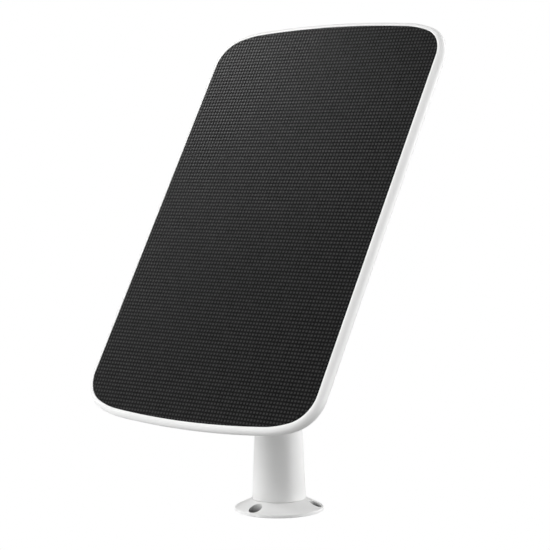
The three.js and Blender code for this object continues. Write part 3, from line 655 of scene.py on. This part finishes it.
def socket_screw(name, head, shank):
    """A round-headed socket screw: head below z = 0, shank and its thread along +Z.

    The head is (radius, height, socket), the shank (radius, length, thread depth, pitch).
    """
    wide, tall, socket = head
    radius, length, thread, pitch = shank
    outline = [(0, -tall), (wide, -tall), (wide, 0), (radius, 0)]
    profile = filleted(outline, [0, tall * 0.45, 0.15, 0], 6, closed=False)
    height = 1.0
    while height + pitch < length:
        profile += [(radius, height), (radius - thread, height + pitch / 2)]
        height += pitch
    profile += [(radius, length - 0.5), (radius - 0.5, length), (0, length)]
    screw = lathe(name, profile, 64)
    cut(screw, rod("socket", socket, -tall - 1, -tall + tall * 0.65, 6))
    return soften(screw, 0.12, 2)


def build_nut():
    """A hexagon nut with chamfered corners, across the tilt axis."""
    seat = NUT_SUNK - FORK_HALF
    nut = rod("pivot_lock_nut", NUT_RADIUS, seat, seat + NUT_HEIGHT, 6, "X")
    cone = [
        (0, -FORK_HALF),
        (NUT_CONE_TIP, -FORK_HALF),
        (NUT_CONE_BASE, NUT_CONE_HEIGHT - FORK_HALF),
        (NUT_CONE_BASE, 0),
        (0, 0),
    ]
    combine(nut, [lathe("chamfer", cone, 64, "X")], "INTERSECT")
    cut(nut, rod("thread", BOLT_RADIUS + 0.15, -FAR, 0, 48, "X"))
    return soften(nut, 0.1, 2)


def build_shim(name, low, high):
    """A flat ring on the tilt axis, between a knuckle face and the fork."""
    inner = BOLT_RADIUS + BOLT_SLACK
    profile = [(inner, low), (SHIM_RADIUS, low), (SHIM_RADIUS, high), (inner, high)]
    return lathe(name, filleted(profile, 0.25 * (high - low), 3), 80, "X")


def add_post(paint):
    put(shade(build_post()), FOOT, "post", ["post_shell"], paint["white"])
    head = (BOLT_HEAD, BOLT_HEAD_HEIGHT, BOLT_SOCKET)
    bolt = socket_screw("pivot_cap_bolt", head, (BOLT_RADIUS, BOLT_LENGTH, BOLT_THREAD, BOLT_PITCH))
    bolt.data.transform(Matrix.Rotation(-math.pi / 2, 4, "Y"))
    moved(bolt, FORK_HALF - BOLT_SUNK)
    put(shade(bolt), PIVOT, "post", ["pivot_bolt"], paint["steel"])
    put(shade(build_nut()), PIVOT, "post", ["pivot_nut"], paint["steel"])
    for side, name in ((1, "right"), (-1, "left")):
        low, high = sorted((SHIM_INNER_FACE * side, SHIM_OUTER_FACE * side))
        washer = build_shim(f"tilt_shim_{name}", low, high)
        put(shade(washer), PIVOT, "post", [f"tilt_washer_{name}"], paint["nylon"])


# ---- the hinge head


def build_hinge():
    """The hub disc with its knuckle and web, moulded as one."""
    outline = [(0, HUB_REAR), (HUB_RADIUS, HUB_REAR), (HUB_RADIUS, HUB_FRONT), (0, HUB_FRONT)]
    disc = lathe("hinge_hub", filleted(outline, [0, 1.6, 0.4, 0], 7, closed=False), 128)
    moved(disc, y=HUB_RISE)
    half = KNUCKLE_HALF
    knuckle_line = [(0, -half), (FORK_RADIUS, -half), (FORK_RADIUS, half), (0, half)]
    knuckle = lathe("knuckle", filleted(knuckle_line, 0.4, 4, closed=False), 96, "X")
    web_line = [(-8.5, 3), (-3, HUB_REAR + 1), (10.6, HUB_REAR + 1), (9, 1)]
    web = loft("web", [[(x, y, z) for y, z in web_line] for x in (-half, half)])
    join(disc, knuckle, web)
    stud_bore = moved(rod("stud_bore", STUD_RADIUS + STUD_SLACK, 0, FARTHER), y=HUB_RISE)
    cut(disc, stud_bore, rod("pivot_bore", BOLT_RADIUS + BOLT_SLACK, -FAR / 2, FAR / 2, 48, "X"))
    return soften(disc, 0.4, 3)


def build_hub_pad():
    """The rubber ring between the hub and the panel, with a softly bulging edge."""
    rear = HUB_FRONT + HUB_GAP
    front = rear + HUB_PAD
    outer = HUB_RADIUS - HUB_PAD_INSET
    bulge = 0.4
    profile = [
        (HUB_PAD_BORE, rear),
        (outer - bulge, rear),
        (outer, rear + 0.3),
        (outer, front - 0.3),
        (outer - bulge, front),
        (HUB_PAD_BORE, front),
    ]
    return moved(lathe("hub_friction_pad", profile, 128), y=HUB_RISE)


def add_hinge(paint):
    put(shade(build_hinge()), HINGE, "hinge", ["hinge_head"], paint["white"])
    put(shade(build_hub_pad()), HINGE, "hinge", ["hub_pad"], paint["rubber"])
    tip = PIVOT_TO_FACE - LEDGE_DEPTH - STUD_TIP_GAP
    head_top = HUB_REAR - STUD_SEAT_GAP
    head = (STUD_HEAD, STUD_HEAD_HEIGHT, STUD_SOCKET)
    shank = (STUD_RADIUS, tip - head_top, STUD_THREAD, STUD_PITCH)
    stud = socket_screw("mounting_stud", head, shank)
    moved(stud, 0, HUB_RISE, head_top)
    put(shade(stud), HINGE, "hinge", ["mount_stud"], paint["steel"])


# ---- the panel


def panel_outline(corner_steps=20, shoulder_steps=8, end_steps=30):
    """The panel's outline as a function of an outward offset, mirrored about both its axes."""
    sweep = math.radians(CORNER_SWEEP)
    step, span = SHEET_SHOULDER - SHEET_CORNER, SHEET_END - SHEET_SHOULDER
    side_x = SHEET_HALF_WIDTH - SHEET_CORNER
    meet = math.acos((side_x - step * math.cos(sweep)) / span)
    end_y = SHEET_HALF_HEIGHT - SHEET_END
    shoulder = (span * math.cos(meet), end_y + span * math.sin(meet))
    corner = (shoulder[0] + step * math.cos(sweep), shoulder[1] + step * math.sin(sweep))
    meet = math.degrees(meet)
    half = [
        (*corner, SHEET_CORNER, 0, CORNER_SWEEP, corner_steps),
        (*shoulder, SHEET_SHOULDER, CORNER_SWEEP, meet, shoulder_steps),
        (0, end_y, SHEET_END, meet, 180 - meet, end_steps),
        (-shoulder[0], shoulder[1], SHEET_SHOULDER, 180 - meet, 180 - CORNER_SWEEP, shoulder_steps),
        (-corner[0], corner[1], SHEET_CORNER, 180 - CORNER_SWEEP, 180, corner_steps),
    ]
    turned = [(-x, -y, radius, start + 180, end + 180, n) for x, y, radius, start, end, n in half]
    return arcs_outline(half + turned)


def without_repeats(points):
    """The outline without the points that two neighbouring arcs share."""
    return [p for k, p in enumerate(points) if math.dist(p, points[k - 1]) > 1e-4]


def tray_profile():
    """(offset, depth) from the tray's floor, up the pocket, over the lip and round to the back."""
    inner = [(-LEDGE_INSET, TRAY_FLOOR), (-LEDGE_INSET, LEDGE_DEPTH), (0, LEDGE_DEPTH)]
    edge = [(x, LIP_FILLET - y) for x, y in arc(LIP_FILLET, 0, LIP_FILLET, 180, 90, 4)]
    steps = 16
    quarter = [math.pi / 2 * k / steps for k in range(steps + 1)]
    reach, rear = TRAY_REACH - TRAY_LIP, TRAY_DEPTH - TRAY_WIDEST
    front = [(TRAY_LIP + reach * math.sin(a), TRAY_WIDEST * (1 - math.cos(a))) for a in quarter]
    span = TRAY_REACH + TRAY_BACK_INSET
    back = [
        (span * math.cos(a) - TRAY_BACK_INSET, TRAY_WIDEST + rear * math.sin(a))
        for a in quarter[1:]
    ]
    return inner + edge + front + back


def build_tray():
    """The white tray: frame, pocket, floor, and a back with a field sunk round two lands."""
    outline = panel_outline()
    rings = [
        [(x, y, -depth) for x, y in without_repeats(outline(offset))]
        for offset, depth in tray_profile()
    ]
    tray = loft("panel_tray", rings)
    slope = ((0, -TRAY_DEPTH), (FIELD_DROP, FIELD_DROP - TRAY_DEPTH))
    field_rings = [
        [(x, y, z) for x, y in without_repeats(outline(-FIELD_INSET - shift))]
        for shift, z in ((0, -TRAY_DEPTH - 1), *slope)
    ]
    below = -TRAY_DEPTH - 2
    lands = ((0, below), *slope, (FIELD_DROP, 0))
    hub_land = HUB_RADIUS + HUB_LAND
    round_line = [(hub_land + shift, z) for shift, z in lands]
    round_land = lathe("round_land", [(0, below), *round_line, (0, 0)], 128)
    rect = round_rect(
        COVER_WIDTH + 2 * COVER_LAND, COVER_HEIGHT + 2 * COVER_LAND, COVER_CORNER + COVER_LAND
    )
    cover_rings = [[(x, y + COVER_Y, z) for x, y in rect(shift)] for shift, z in lands]
    field = loft("field", field_rings)
    cut(field, round_land, loft("cover_land", cover_rings))
    cut(tray, field)
    return tray


def finish_tray(tray):
    """Adds the ribs, bosses and standoffs, and opens the bores and the slot for the leads."""
    reach = SHEET_HALF_WIDTH - LEDGE_INSET
    length = SHEET_HALF_HEIGHT - LEDGE_INSET - RIB_END
    root = -TRAY_FLOOR - RIB_ROOT
    ribs = [
        block("rib", x - RIB_HALF, x + RIB_HALF, -length, length, root, -RIB_TOP) for x in (-RIB_X, RIB_X)
    ]
    for x0, x1, y in ((-reach, reach, -RIB_Y), (-reach, -LEAD_GAP, RIB_Y), (LEAD_GAP, reach, RIB_Y)):
        ribs.append(block("rib", x0, x1, y - RIB_HALF, y + RIB_HALF, root, -RIB_TOP))
    pilot = SCREW_SHANK + PILOT_SLACK
    bosses = [rod("insert_boss", INSERT_BOSS, root, -RIB_TOP, 64)]
    pilots = []
    for x, y in cover_corners():
        bosses.append(rod_at("screw_boss", SCREW_BOSS, root, -RIB_TOP, x, y))
        pilots.append(rod_at("pilot", pilot, -FAR, -RIB_TOP - PILOT_SKIN, x, y))
    for x in (BOARD_X - BOARD_SCREW_X, BOARD_X + BOARD_SCREW_X):
        bosses.append(rod_at("standoff", STANDOFF, 0.1 - BOARD_DEPTH, -TRAY_FLOOR, x, BOARD_SCREW_Y))
        pilots.append(rod_at("pilot", pilot, -FAR, -TRAY_FLOOR - PILOT_SKIN, x, BOARD_SCREW_Y))
    join(tray, *bosses, *ribs)
    slot_y = (LEAD_SLOT_LOW, LEAD_SLOT_HIGH)
    lead_slot = block("lead_slot", -LEAD_SLOT_HALF, LEAD_SLOT_HALF, *slot_y, -FAR, 0, 0.5)
    cut(tray, rod("insert_bore", INSERT_BORE, -FAR, 0, 64), lead_slot, *pilots)
    return tray


def clipped(corners, edges):
    """A polygon of (x, y, level) points, cut by each edge's inner side in turn."""
    for (px, py), (nx, ny) in edges:
        kept = []
        for k, here in enumerate(corners):
            before = corners[k - 1]
            here_in = (here[0] - px) * nx + (here[1] - py) * ny
            before_in = (before[0] - px) * nx + (before[1] - py) * ny
            if (here_in > 0) != (before_in > 0):
                share = before_in / (before_in - here_in)
                kept.append(tuple(b + (h - b) * share for b, h in zip(before, here)))
            if here_in <= 0:
                kept.append(here)
        corners = kept
        if len(corners) < 3:
            return []
    return corners


def grid_lines(half):
    """Places across the sheet, and whether each is up: a groove, then a dot's two shoulders."""
    count = math.ceil(half / DOT_PITCH) + 1
    starts = (np.arange(-count, count + 1) - 0.5) * DOT_PITCH
    shares = np.array([0.0, DOT_SHOULDER, 1 - DOT_SHOULDER]) * DOT_PITCH
    return (starts[:, None] + shares).ravel(), np.tile([0.0, 1.0, 1.0], len(starts))


def cell_corners(table):
    """The values at the four corners of each cell of a grid."""
    return table[:-1, :-1], table[1:, :-1], table[1:, 1:], table[:-1, 1:]


def embossed_grid():
    """(x, y, level) points and faces of the embossed front, cut along the sheet's outline."""
    edge = np.array(without_repeats(panel_outline(14, 5, 20)(-SHEET_EDGE_GAP)))
    along = np.roll(edge, -1, axis=0) - edge
    outward = np.stack([along[:, 1], -along[:, 0]], axis=1)
    outward /= np.linalg.norm(outward, axis=1)[:, None]

    xs, x_up = grid_lines(SHEET_HALF_WIDTH)
    ys, y_up = grid_lines(SHEET_HALF_HEIGHT)
    grid_x, grid_y = np.meshgrid(xs, ys, indexing="ij")
    relief = np.outer(x_up, y_up)
    points = np.stack([grid_x.ravel(), grid_y.ravel()], axis=1)
    past = ((points[:, None, :] - edge[None]) * outward[None]).sum(axis=2)
    inside = (past.max(axis=1) < 0).reshape(relief.shape)
    number = np.arange(relief.size).reshape(relief.shape)
    corners_in = sum(corner.astype(int) for corner in cell_corners(inside))
    quads = np.stack(cell_corners(number), axis=-1)

    verts = [(x, y, level) for (x, y), level in zip(points.tolist(), relief.ravel().tolist())]
    faces = quads[corners_in == 4].tolist()
    edges = list(zip(edge.tolist(), outward.tolist()))
    for quad in quads[(corners_in > 0) & (corners_in < 4)].tolist():
        middle = np.mean([points[k] for k in quad], axis=0)
        near = ((middle - edge) * outward).sum(axis=1) > -1.5 * DOT_PITCH
        piece = clipped([verts[k] for k in quad], [e for e, n in zip(edges, near) if n])
        if piece:
            faces.append(range(len(verts), len(verts) + len(piece)))
            verts += piece
    return verts, faces


def close_sheet(mesh):
    """Joins the embossed front's cells and closes it with a skirt and a flat back."""
    work = bmesh.new()
    work.from_mesh(mesh)
    bmesh.ops.delete(work, geom=[v for v in work.verts if not v.link_faces], context="VERTS")
    bmesh.ops.remove_doubles(work, verts=work.verts, dist=1e-3)
    rim = [e for e in work.edges if e.is_boundary]
    skirt = bmesh.ops.extrude_edge_only(work, edges=rim)["geom"]
    for vert in (g for g in skirt if isinstance(g, bmesh.types.BMVert)):
        vert.co.z = -SHEET_RECESS - SHEET_THICKNESS
    bottom = [g for g in skirt if isinstance(g, bmesh.types.BMEdge) and g.is_boundary]
    bmesh.ops.contextual_create(work, geom=bottom)
    bmesh.ops.recalc_face_normals(work, faces=work.faces)
    work.to_mesh(mesh)
    work.free()


def build_sheet():
    """The black sheet, embossed with a square grid of dots that runs out to its edge."""
    verts, faces = embossed_grid()
    mesh = bpy.data.meshes.new("embossed_sheet")
    heights = [(x, y, -SHEET_RECESS - DOT_HEIGHT * (1 - level)) for x, y, level in verts]
    mesh.from_pydata(heights, [], faces)
    close_sheet(mesh)
    paint_relief(mesh)
    sheet = bpy.data.objects.new("embossed_sheet", mesh)
    bpy.context.scene.collection.objects.link(sheet)
    return sheet


def paint_relief(mesh):
    """Stores how high and open each point lies, which the sheet's colour uses as painted shade, and a
    faint random tone per dot.
    """
    flat = np.empty(len(mesh.vertices) * 3)
    mesh.vertices.foreach_get("co", flat)
    place = flat.reshape(-1, 3)[:, :2] / DOT_PITCH
    cell = np.floor(place + 0.5)
    across, along = np.clip((0.5 - np.abs(place - cell)) / DOT_SHOULDER, 0, 1).T
    both = across * along * (1 - SADDLE_ACROSS - SADDLE_ALONG)
    # Painted shade: this level darkens the sheet's colour in the grooves, more between rows than between
    # columns.
    level = both + across * SADDLE_ACROSS + along * SADDLE_ALONG
    draw = np.random.default_rng(11).random((400, 400))
    row, column = cell.astype(int).T + 200
    tone = draw[row, column] * level
    for name, values in (("relief", level), ("tone", tone)):
        attribute = mesh.attributes.new(name, "FLOAT", "POINT")
        attribute.data.foreach_set("value", values.astype(np.float32))


# ---- the junction cover


def cover_corners():
    """Centres of the cover's four screws, in the panel's frame."""
    x = COVER_WIDTH / 2 - COVER_WALL - COVER_BLOCK / 2 + SCREW_SHIFT
    y = COVER_HEIGHT / 2 - COVER_WALL - COVER_BLOCK / 2 + SCREW_SHIFT
    return [(sx * x, COVER_Y + sy * y) for sx in (-1, 1) for sy in (-1, 1)]


def build_cover():
    """The junction cover: a shallow lid with screw wells, a blank sunk panel and a port."""
    rect = round_rect(COVER_WIDTH, COVER_HEIGHT, COVER_CORNER, 12)
    cover = moved(prism("junction_lid", rect, -COVER_BACK, -COVER_RIM, COVER_BEVEL, 0.3, 7), y=COVER_Y)
    x, y = COVER_WIDTH / 2 - COVER_WALL, COVER_HEIGHT / 2 - COVER_WALL
    inside = COVER_SKIN - COVER_BACK
    across = block("hollow", COVER_BLOCK - x, x - COVER_BLOCK, -y, y, inside, 0, 1)
    along = block("hollow", -x, x, COVER_BLOCK - y, y - COVER_BLOCK, inside, 0, 1)
    cut(cover, moved(across, y=COVER_Y), moved(along, y=COVER_Y))
    rect = round_rect(INSET_WIDTH, INSET_HEIGHT, INSET_CORNER, 8)
    inset = prism("inset", rect, -COVER_BACK - 1, INSET_DEPTH - COVER_BACK)
    cut(cover, moved(inset, y=COVER_Y))
    side = COVER_WIDTH / 2
    for name, width, height, depth, fillet in (
        ("recess", RECESS_WIDTH, RECESS_HEIGHT, RECESS_DEPTH, RECESS_CORNER),
        ("port", PORT_WIDTH, PORT_HEIGHT, PORT_LENGTH, PORT_CORNER),
    ):
        hole = prism(name, round_rect(height, width, fillet, 5), side - depth, side + 2)
        hole.data.transform(Matrix.Rotation(math.pi / 2, 4, "Y"))
        cut(cover, moved(hole, 0, COVER_Y, -PORT_DEPTH))
    shank = SCREW_SHANK + WELL_SLACK
    well = [
        (0, -COVER_BACK - 1),
        (WELL_RADIUS + WELL_TAPER, -COVER_BACK - 1),
        (WELL_RADIUS, -COVER_BACK + WELL_SEAT),
        (shank, -COVER_BACK + WELL_FLOOR),
        (shank, 0),
        (0, 0),
    ]
    for x, y in cover_corners():
        cut(cover, moved(lathe("well", well, 48), x, y))
    return soften(cover, 0.18, 2)


def build_gasket():
    """The flat gasket under the cover, a thin dark line round its rim."""
    width, height = COVER_WIDTH - 2 * GASKET_INSET, COVER_HEIGHT - 2 * GASKET_INSET
    rect = round_rect(width, height, COVER_CORNER - GASKET_INSET)
    low, high = GASKET_SQUEEZE - COVER_RIM, -TRAY_DEPTH - GASKET_SQUEEZE
    gasket = prism("junction_gasket", rect, low, high, 0.1, 0.1, 2)
    inner = round_rect(COVER_WIDTH - 2 * GASKET_WIDTH, COVER_HEIGHT - 2 * GASKET_WIDTH, 2)
    cut(gasket, prism("inner", inner, -FARTHER, 0))
    for x, y in cover_corners():
        cut(gasket, rod_at("hole", SCREW_SHANK + 0.35, -FARTHER, 0, x, y - COVER_Y))
    return moved(gasket, y=COVER_Y)


def build_cross_screw(name, length):
    """A countersunk screw with a cross recess: head face at z = 0, threaded shank along +Z."""
    profile = [(0, 0), (SCREW_HEAD - 0.1, 0), (SCREW_HEAD, 0.15), (SCREW_SHANK, 1.4)]
    pitch, height = 0.9, 1.9
    while height + pitch < length - 1:
        profile += [(SCREW_SHANK - 0.25, height + pitch / 2), (SCREW_SHANK, height + pitch)]
        height += pitch
    profile += [(0.5, length - 0.2), (0, length)]
    screw = lathe(name, profile, 40)
    corners = ((-1, -1), (1, -1), (1, 1), (-1, 1))
    for turn in (0, 90):
        rings = [
            [(x * (1.45 - 0.7 * z), y * (0.32 - 0.1 * z), z) for x, y in corners] for z in (-0.5, 1.0)
        ]
        wing = loft("wing", rings)
        wing.data.transform(Matrix.Rotation(math.radians(turn), 4, "Z"))
        cut(screw, wing)
    return screw


def build_flap():
    """The rubber door over the port: a rounded plate, its plug lip, pull edge and hinge roll."""
    side = COVER_WIDTH / 2
    rear = side - FLAP_THICKNESS
    half = FLAP_HEIGHT / 2
    middle = (FLAP_LOW + FLAP_HINGE) / 2
    rect = round_rect(FLAP_HEIGHT, FLAP_HINGE - FLAP_LOW, FLAP_CORNER, 5)
    plate = prism("port_door", rect, rear, side, 0.1, 0.3, 3)
    plug = round_rect(PORT_HEIGHT - PLUG_SLACK, PORT_WIDTH - PLUG_SLACK, 1.0, 5)
    lip = prism("lip", plug, rear - PLUG_LIP, rear + 0.2, 0.2, 0, 3)
    join(plate, moved(lip, y=COVER_Y - middle))
    plate.data.transform(Matrix.Rotation(math.pi / 2, 4, "Y"))
    moved(plate, y=middle)
    radius = FLAP_THICKNESS / 2
    roll_line = filleted([(0, -half), (radius, -half), (radius, half), (0, half)], 0.2, 3, closed=False)
    roll = moved(lathe("roll", roll_line, 32), side - radius, FLAP_HINGE)
    pull_low = FLAP_LOW + 0.3
    grip = half - 0.6
    pull = block(
        "pull", side - 0.3, side + PULL_REACH, pull_low, pull_low + PULL_WIDTH, -grip, grip, 0.35
    )
    join(plate, roll, pull)
    return moved(soften(plate, 0.1, 2), z=-PORT_DEPTH)


def add_panel(paint):
    tray = finish_tray(build_tray())
    put(shade(tray), PANEL, "panel", ["rear_housing"], paint["white"])
    sheet = build_sheet()
    sheet.data.shade_smooth()
    sheet.data.set_sharp_from_angle(angle=math.radians(50))
    put(sheet, PANEL, "panel", ["front_sheet"], paint["sheet"])
    put(shade(build_cover()), PANEL, "panel", ["junction_cover"], paint["white"])
    put(shade(build_gasket()), PANEL, "panel", ["cover_gasket"], paint["rubber"])
    for number, (x, y) in enumerate(cover_corners(), 1):
        screw = build_cross_screw(f"lid_screw_{number}", SCREW_LENGTH)
        moved(screw, x, y, SCREW_SUNK - COVER_BACK)
        put(shade(screw), PANEL, "panel", [f"cover_screw_{number}"], paint["steel"])
    put(shade(build_flap()), PANEL, "flap", ["port_flap"], paint["rubber"])


# ---- pieces kept from the CAD

KEPT_FINISHES = {
    "steel": [
        "swivel_screw",
        "swivel_washer",
        "wave_washer",
        "output_socket",
        "board_screw_1",
        "board_screw_2",
    ],
    "nylon": ["friction_ring", "swivel_plug"],
    "brass": ["thread_insert"],
    "rubber": ["panel_gasket"],
    "laminate": ["cell_board"],
    "board": ["controller_board"],
    "chip": ["inductor", "regulator_chip", "blocking_diode", "socket_tongue"],
    "ceramic": ["input_capacitor", "output_capacitor"],
    "tin": ["bus_ribbon_link", "bus_ribbon_positive", "bus_ribbon_negative"],
    "red": ["lead_positive"],
    "wire_black": ["lead_negative"],
    "silicon": [f"cell_{number:02d}" for number in range(1, 13)],
}


def finish_kept(paint):
    """Gives the inner pieces, whose CAD shapes are right, their materials."""
    for finish, names in KEPT_FINISHES.items():
        for name in names:
            node = frame["nodes"][name]
            for slot in node.material_slots:
                slot.link = "OBJECT"
                slot.material = paint[finish]


# ---- studio and camera

CAMERA = {
    "aim": Vector((-0.0071, 0.0064, 0.1317)),
    "distance": 0.9828,
    "azimuth": 39.95,
    "elevation": 4.10,
    "roll": -0.443,
    "lens": 114.0,
}


def add_camera():
    """The camera at the product shot's angle, with its slight roll."""
    azimuth, elevation, roll = (math.radians(CAMERA[k]) for k in ("azimuth", "elevation", "roll"))
    back = Vector(
        (
            math.sin(azimuth) * math.cos(elevation),
            -math.cos(azimuth) * math.cos(elevation),
            math.sin(elevation),
        )
    )
    level = Vector((math.cos(azimuth), math.sin(azimuth), 0))
    up = back.cross(level)
    side = level * math.cos(roll) + up * math.sin(roll)
    top = up * math.cos(roll) - level * math.sin(roll)
    camera = bpy.data.objects.new("camera", bpy.data.cameras.new("camera"))
    camera.data.lens = CAMERA["lens"]
    camera.data.sensor_width = 36
    camera.data.clip_start = 0.05
    turn = Matrix((side, top, back)).transposed().to_4x4()
    camera.matrix_world = Matrix.Translation(CAMERA["aim"] + back * CAMERA["distance"]) @ turn
    bpy.context.scene.collection.objects.link(camera)
    bpy.context.scene.camera = camera


def add_light(name, azimuth, elevation, size, power):
    """A square softbox aimed at the panel; azimuth 0 is in front of it and 90 to its right."""
    a, e = math.radians(azimuth), math.radians(elevation)
    away = Vector((math.sin(a) * math.cos(e), -math.cos(a) * math.cos(e), math.sin(e)))
    light = bpy.data.lights.new(name, "AREA")
    light.shape = "SQUARE"
    light.size = size
    light.energy = power
    made = bpy.data.objects.new(name, light)
    made.location = LIGHT_AIM + away * LIGHT_DISTANCE
    made.rotation_mode = "QUATERNION"
    made.rotation_quaternion = away.to_track_quat("Z", "Y")
    bpy.context.scene.collection.objects.link(made)


LIGHTS = (
    # name, azimuth, elevation, size, power
    ("floor_left", -90, -35, 1.2, 7.5),
    ("floor_front", -30, -35, 1.2, 10.5),
    ("floor_rear", 150, -35, 1.2, 2.0),
    ("left_box", -45, 14, 0.8, 2.5),
    ("front_box", -10, 22, 0.8, 9.0),
    ("low_right_box", 110, -12, 0.8, 11.5),
    ("rear_right_box", 155, 15, 1.4, 20.0),
    ("sheen_box", -82, 44, 0.35, 5.5),
    ("low_sheen_box", -72, 30, 0.35, 2.4),
    ("high_right_box", 30, 48, 1.2, 12.0),
)
LIGHT_AIM = Vector((0, 0, 0.14))
LIGHT_DISTANCE = 1.5
AMBIENT = 0.02
BACKDROP_RADIUS = 6.0
FLOOR_LEVEL = -0.0005
CONTACT_RADIUS = 24.0
WHITE = (1, 1, 1, 1)


def white_surface(name):
    """A plain white that glows evenly, so that the floor and the backdrop show no edge."""
    material = bpy.data.materials.new(name)
    material.use_nodes = True
    nodes = material.node_tree.nodes
    nodes.clear()
    glow, end = nodes.new("ShaderNodeEmission"), nodes.new("ShaderNodeOutputMaterial")
    glow.inputs["Color"].default_value = WHITE
    material.node_tree.links.new(glow.outputs[0], end.inputs["Surface"])
    return material


def only_seen(made):
    """Keeps a stage piece out of the lighting: it is there for the eye alone."""
    for rays in ("diffuse", "glossy", "transmission", "shadow", "volume_scatter"):
        setattr(made, f"visible_{rays}", False)


def add_stage():
    """A white floor and backdrop, a dark disc as the painted shadow under the foot, even light and the
    softboxes.
    """
    size = BACKDROP_RADIUS
    corners = [(x * size, y * size, FLOOR_LEVEL) for x, y in ((-1, -1), (1, -1), (1, 1), (-1, 1))]
    floor = new_object("floor", corners, [(0, 1, 2, 3)])
    dome = lathe("backdrop", arc(0, 0, size, -90, 90, 24), 48)
    for made in (floor, dome):
        made.data.materials.append(white_surface(f"{made.name}_white"))
        only_seen(made)
    # A dark disc under the foot: painted shadow seen through the screw holes, which also blocks the
    # softboxes below the floor.
    shade_disc = rod("contact_shade", CONTACT_RADIUS * MM, FLOOR_LEVEL / 2, FLOOR_LEVEL / 4, 64)
    shade_disc.data.materials.append(moulded_plastic("contact_grey", (0.04,) * 3, (0.04,) * 3))
    world = bpy.data.worlds.new("studio")
    bpy.context.scene.world = world
    world.use_nodes = True
    world.node_tree.nodes["Background"].inputs["Color"].default_value = WHITE
    world.node_tree.nodes["Background"].inputs["Strength"].default_value = AMBIENT
    for values in LIGHTS:
        add_light(*values)
    bpy.context.scene.view_settings.view_transform = "Standard"


# ---- the scene

add_camera()
finishes = make_materials()
add_foot(finishes)
add_post(finishes)
add_hinge(finishes)
add_panel(finishes)
finish_kept(finishes)
add_stage()
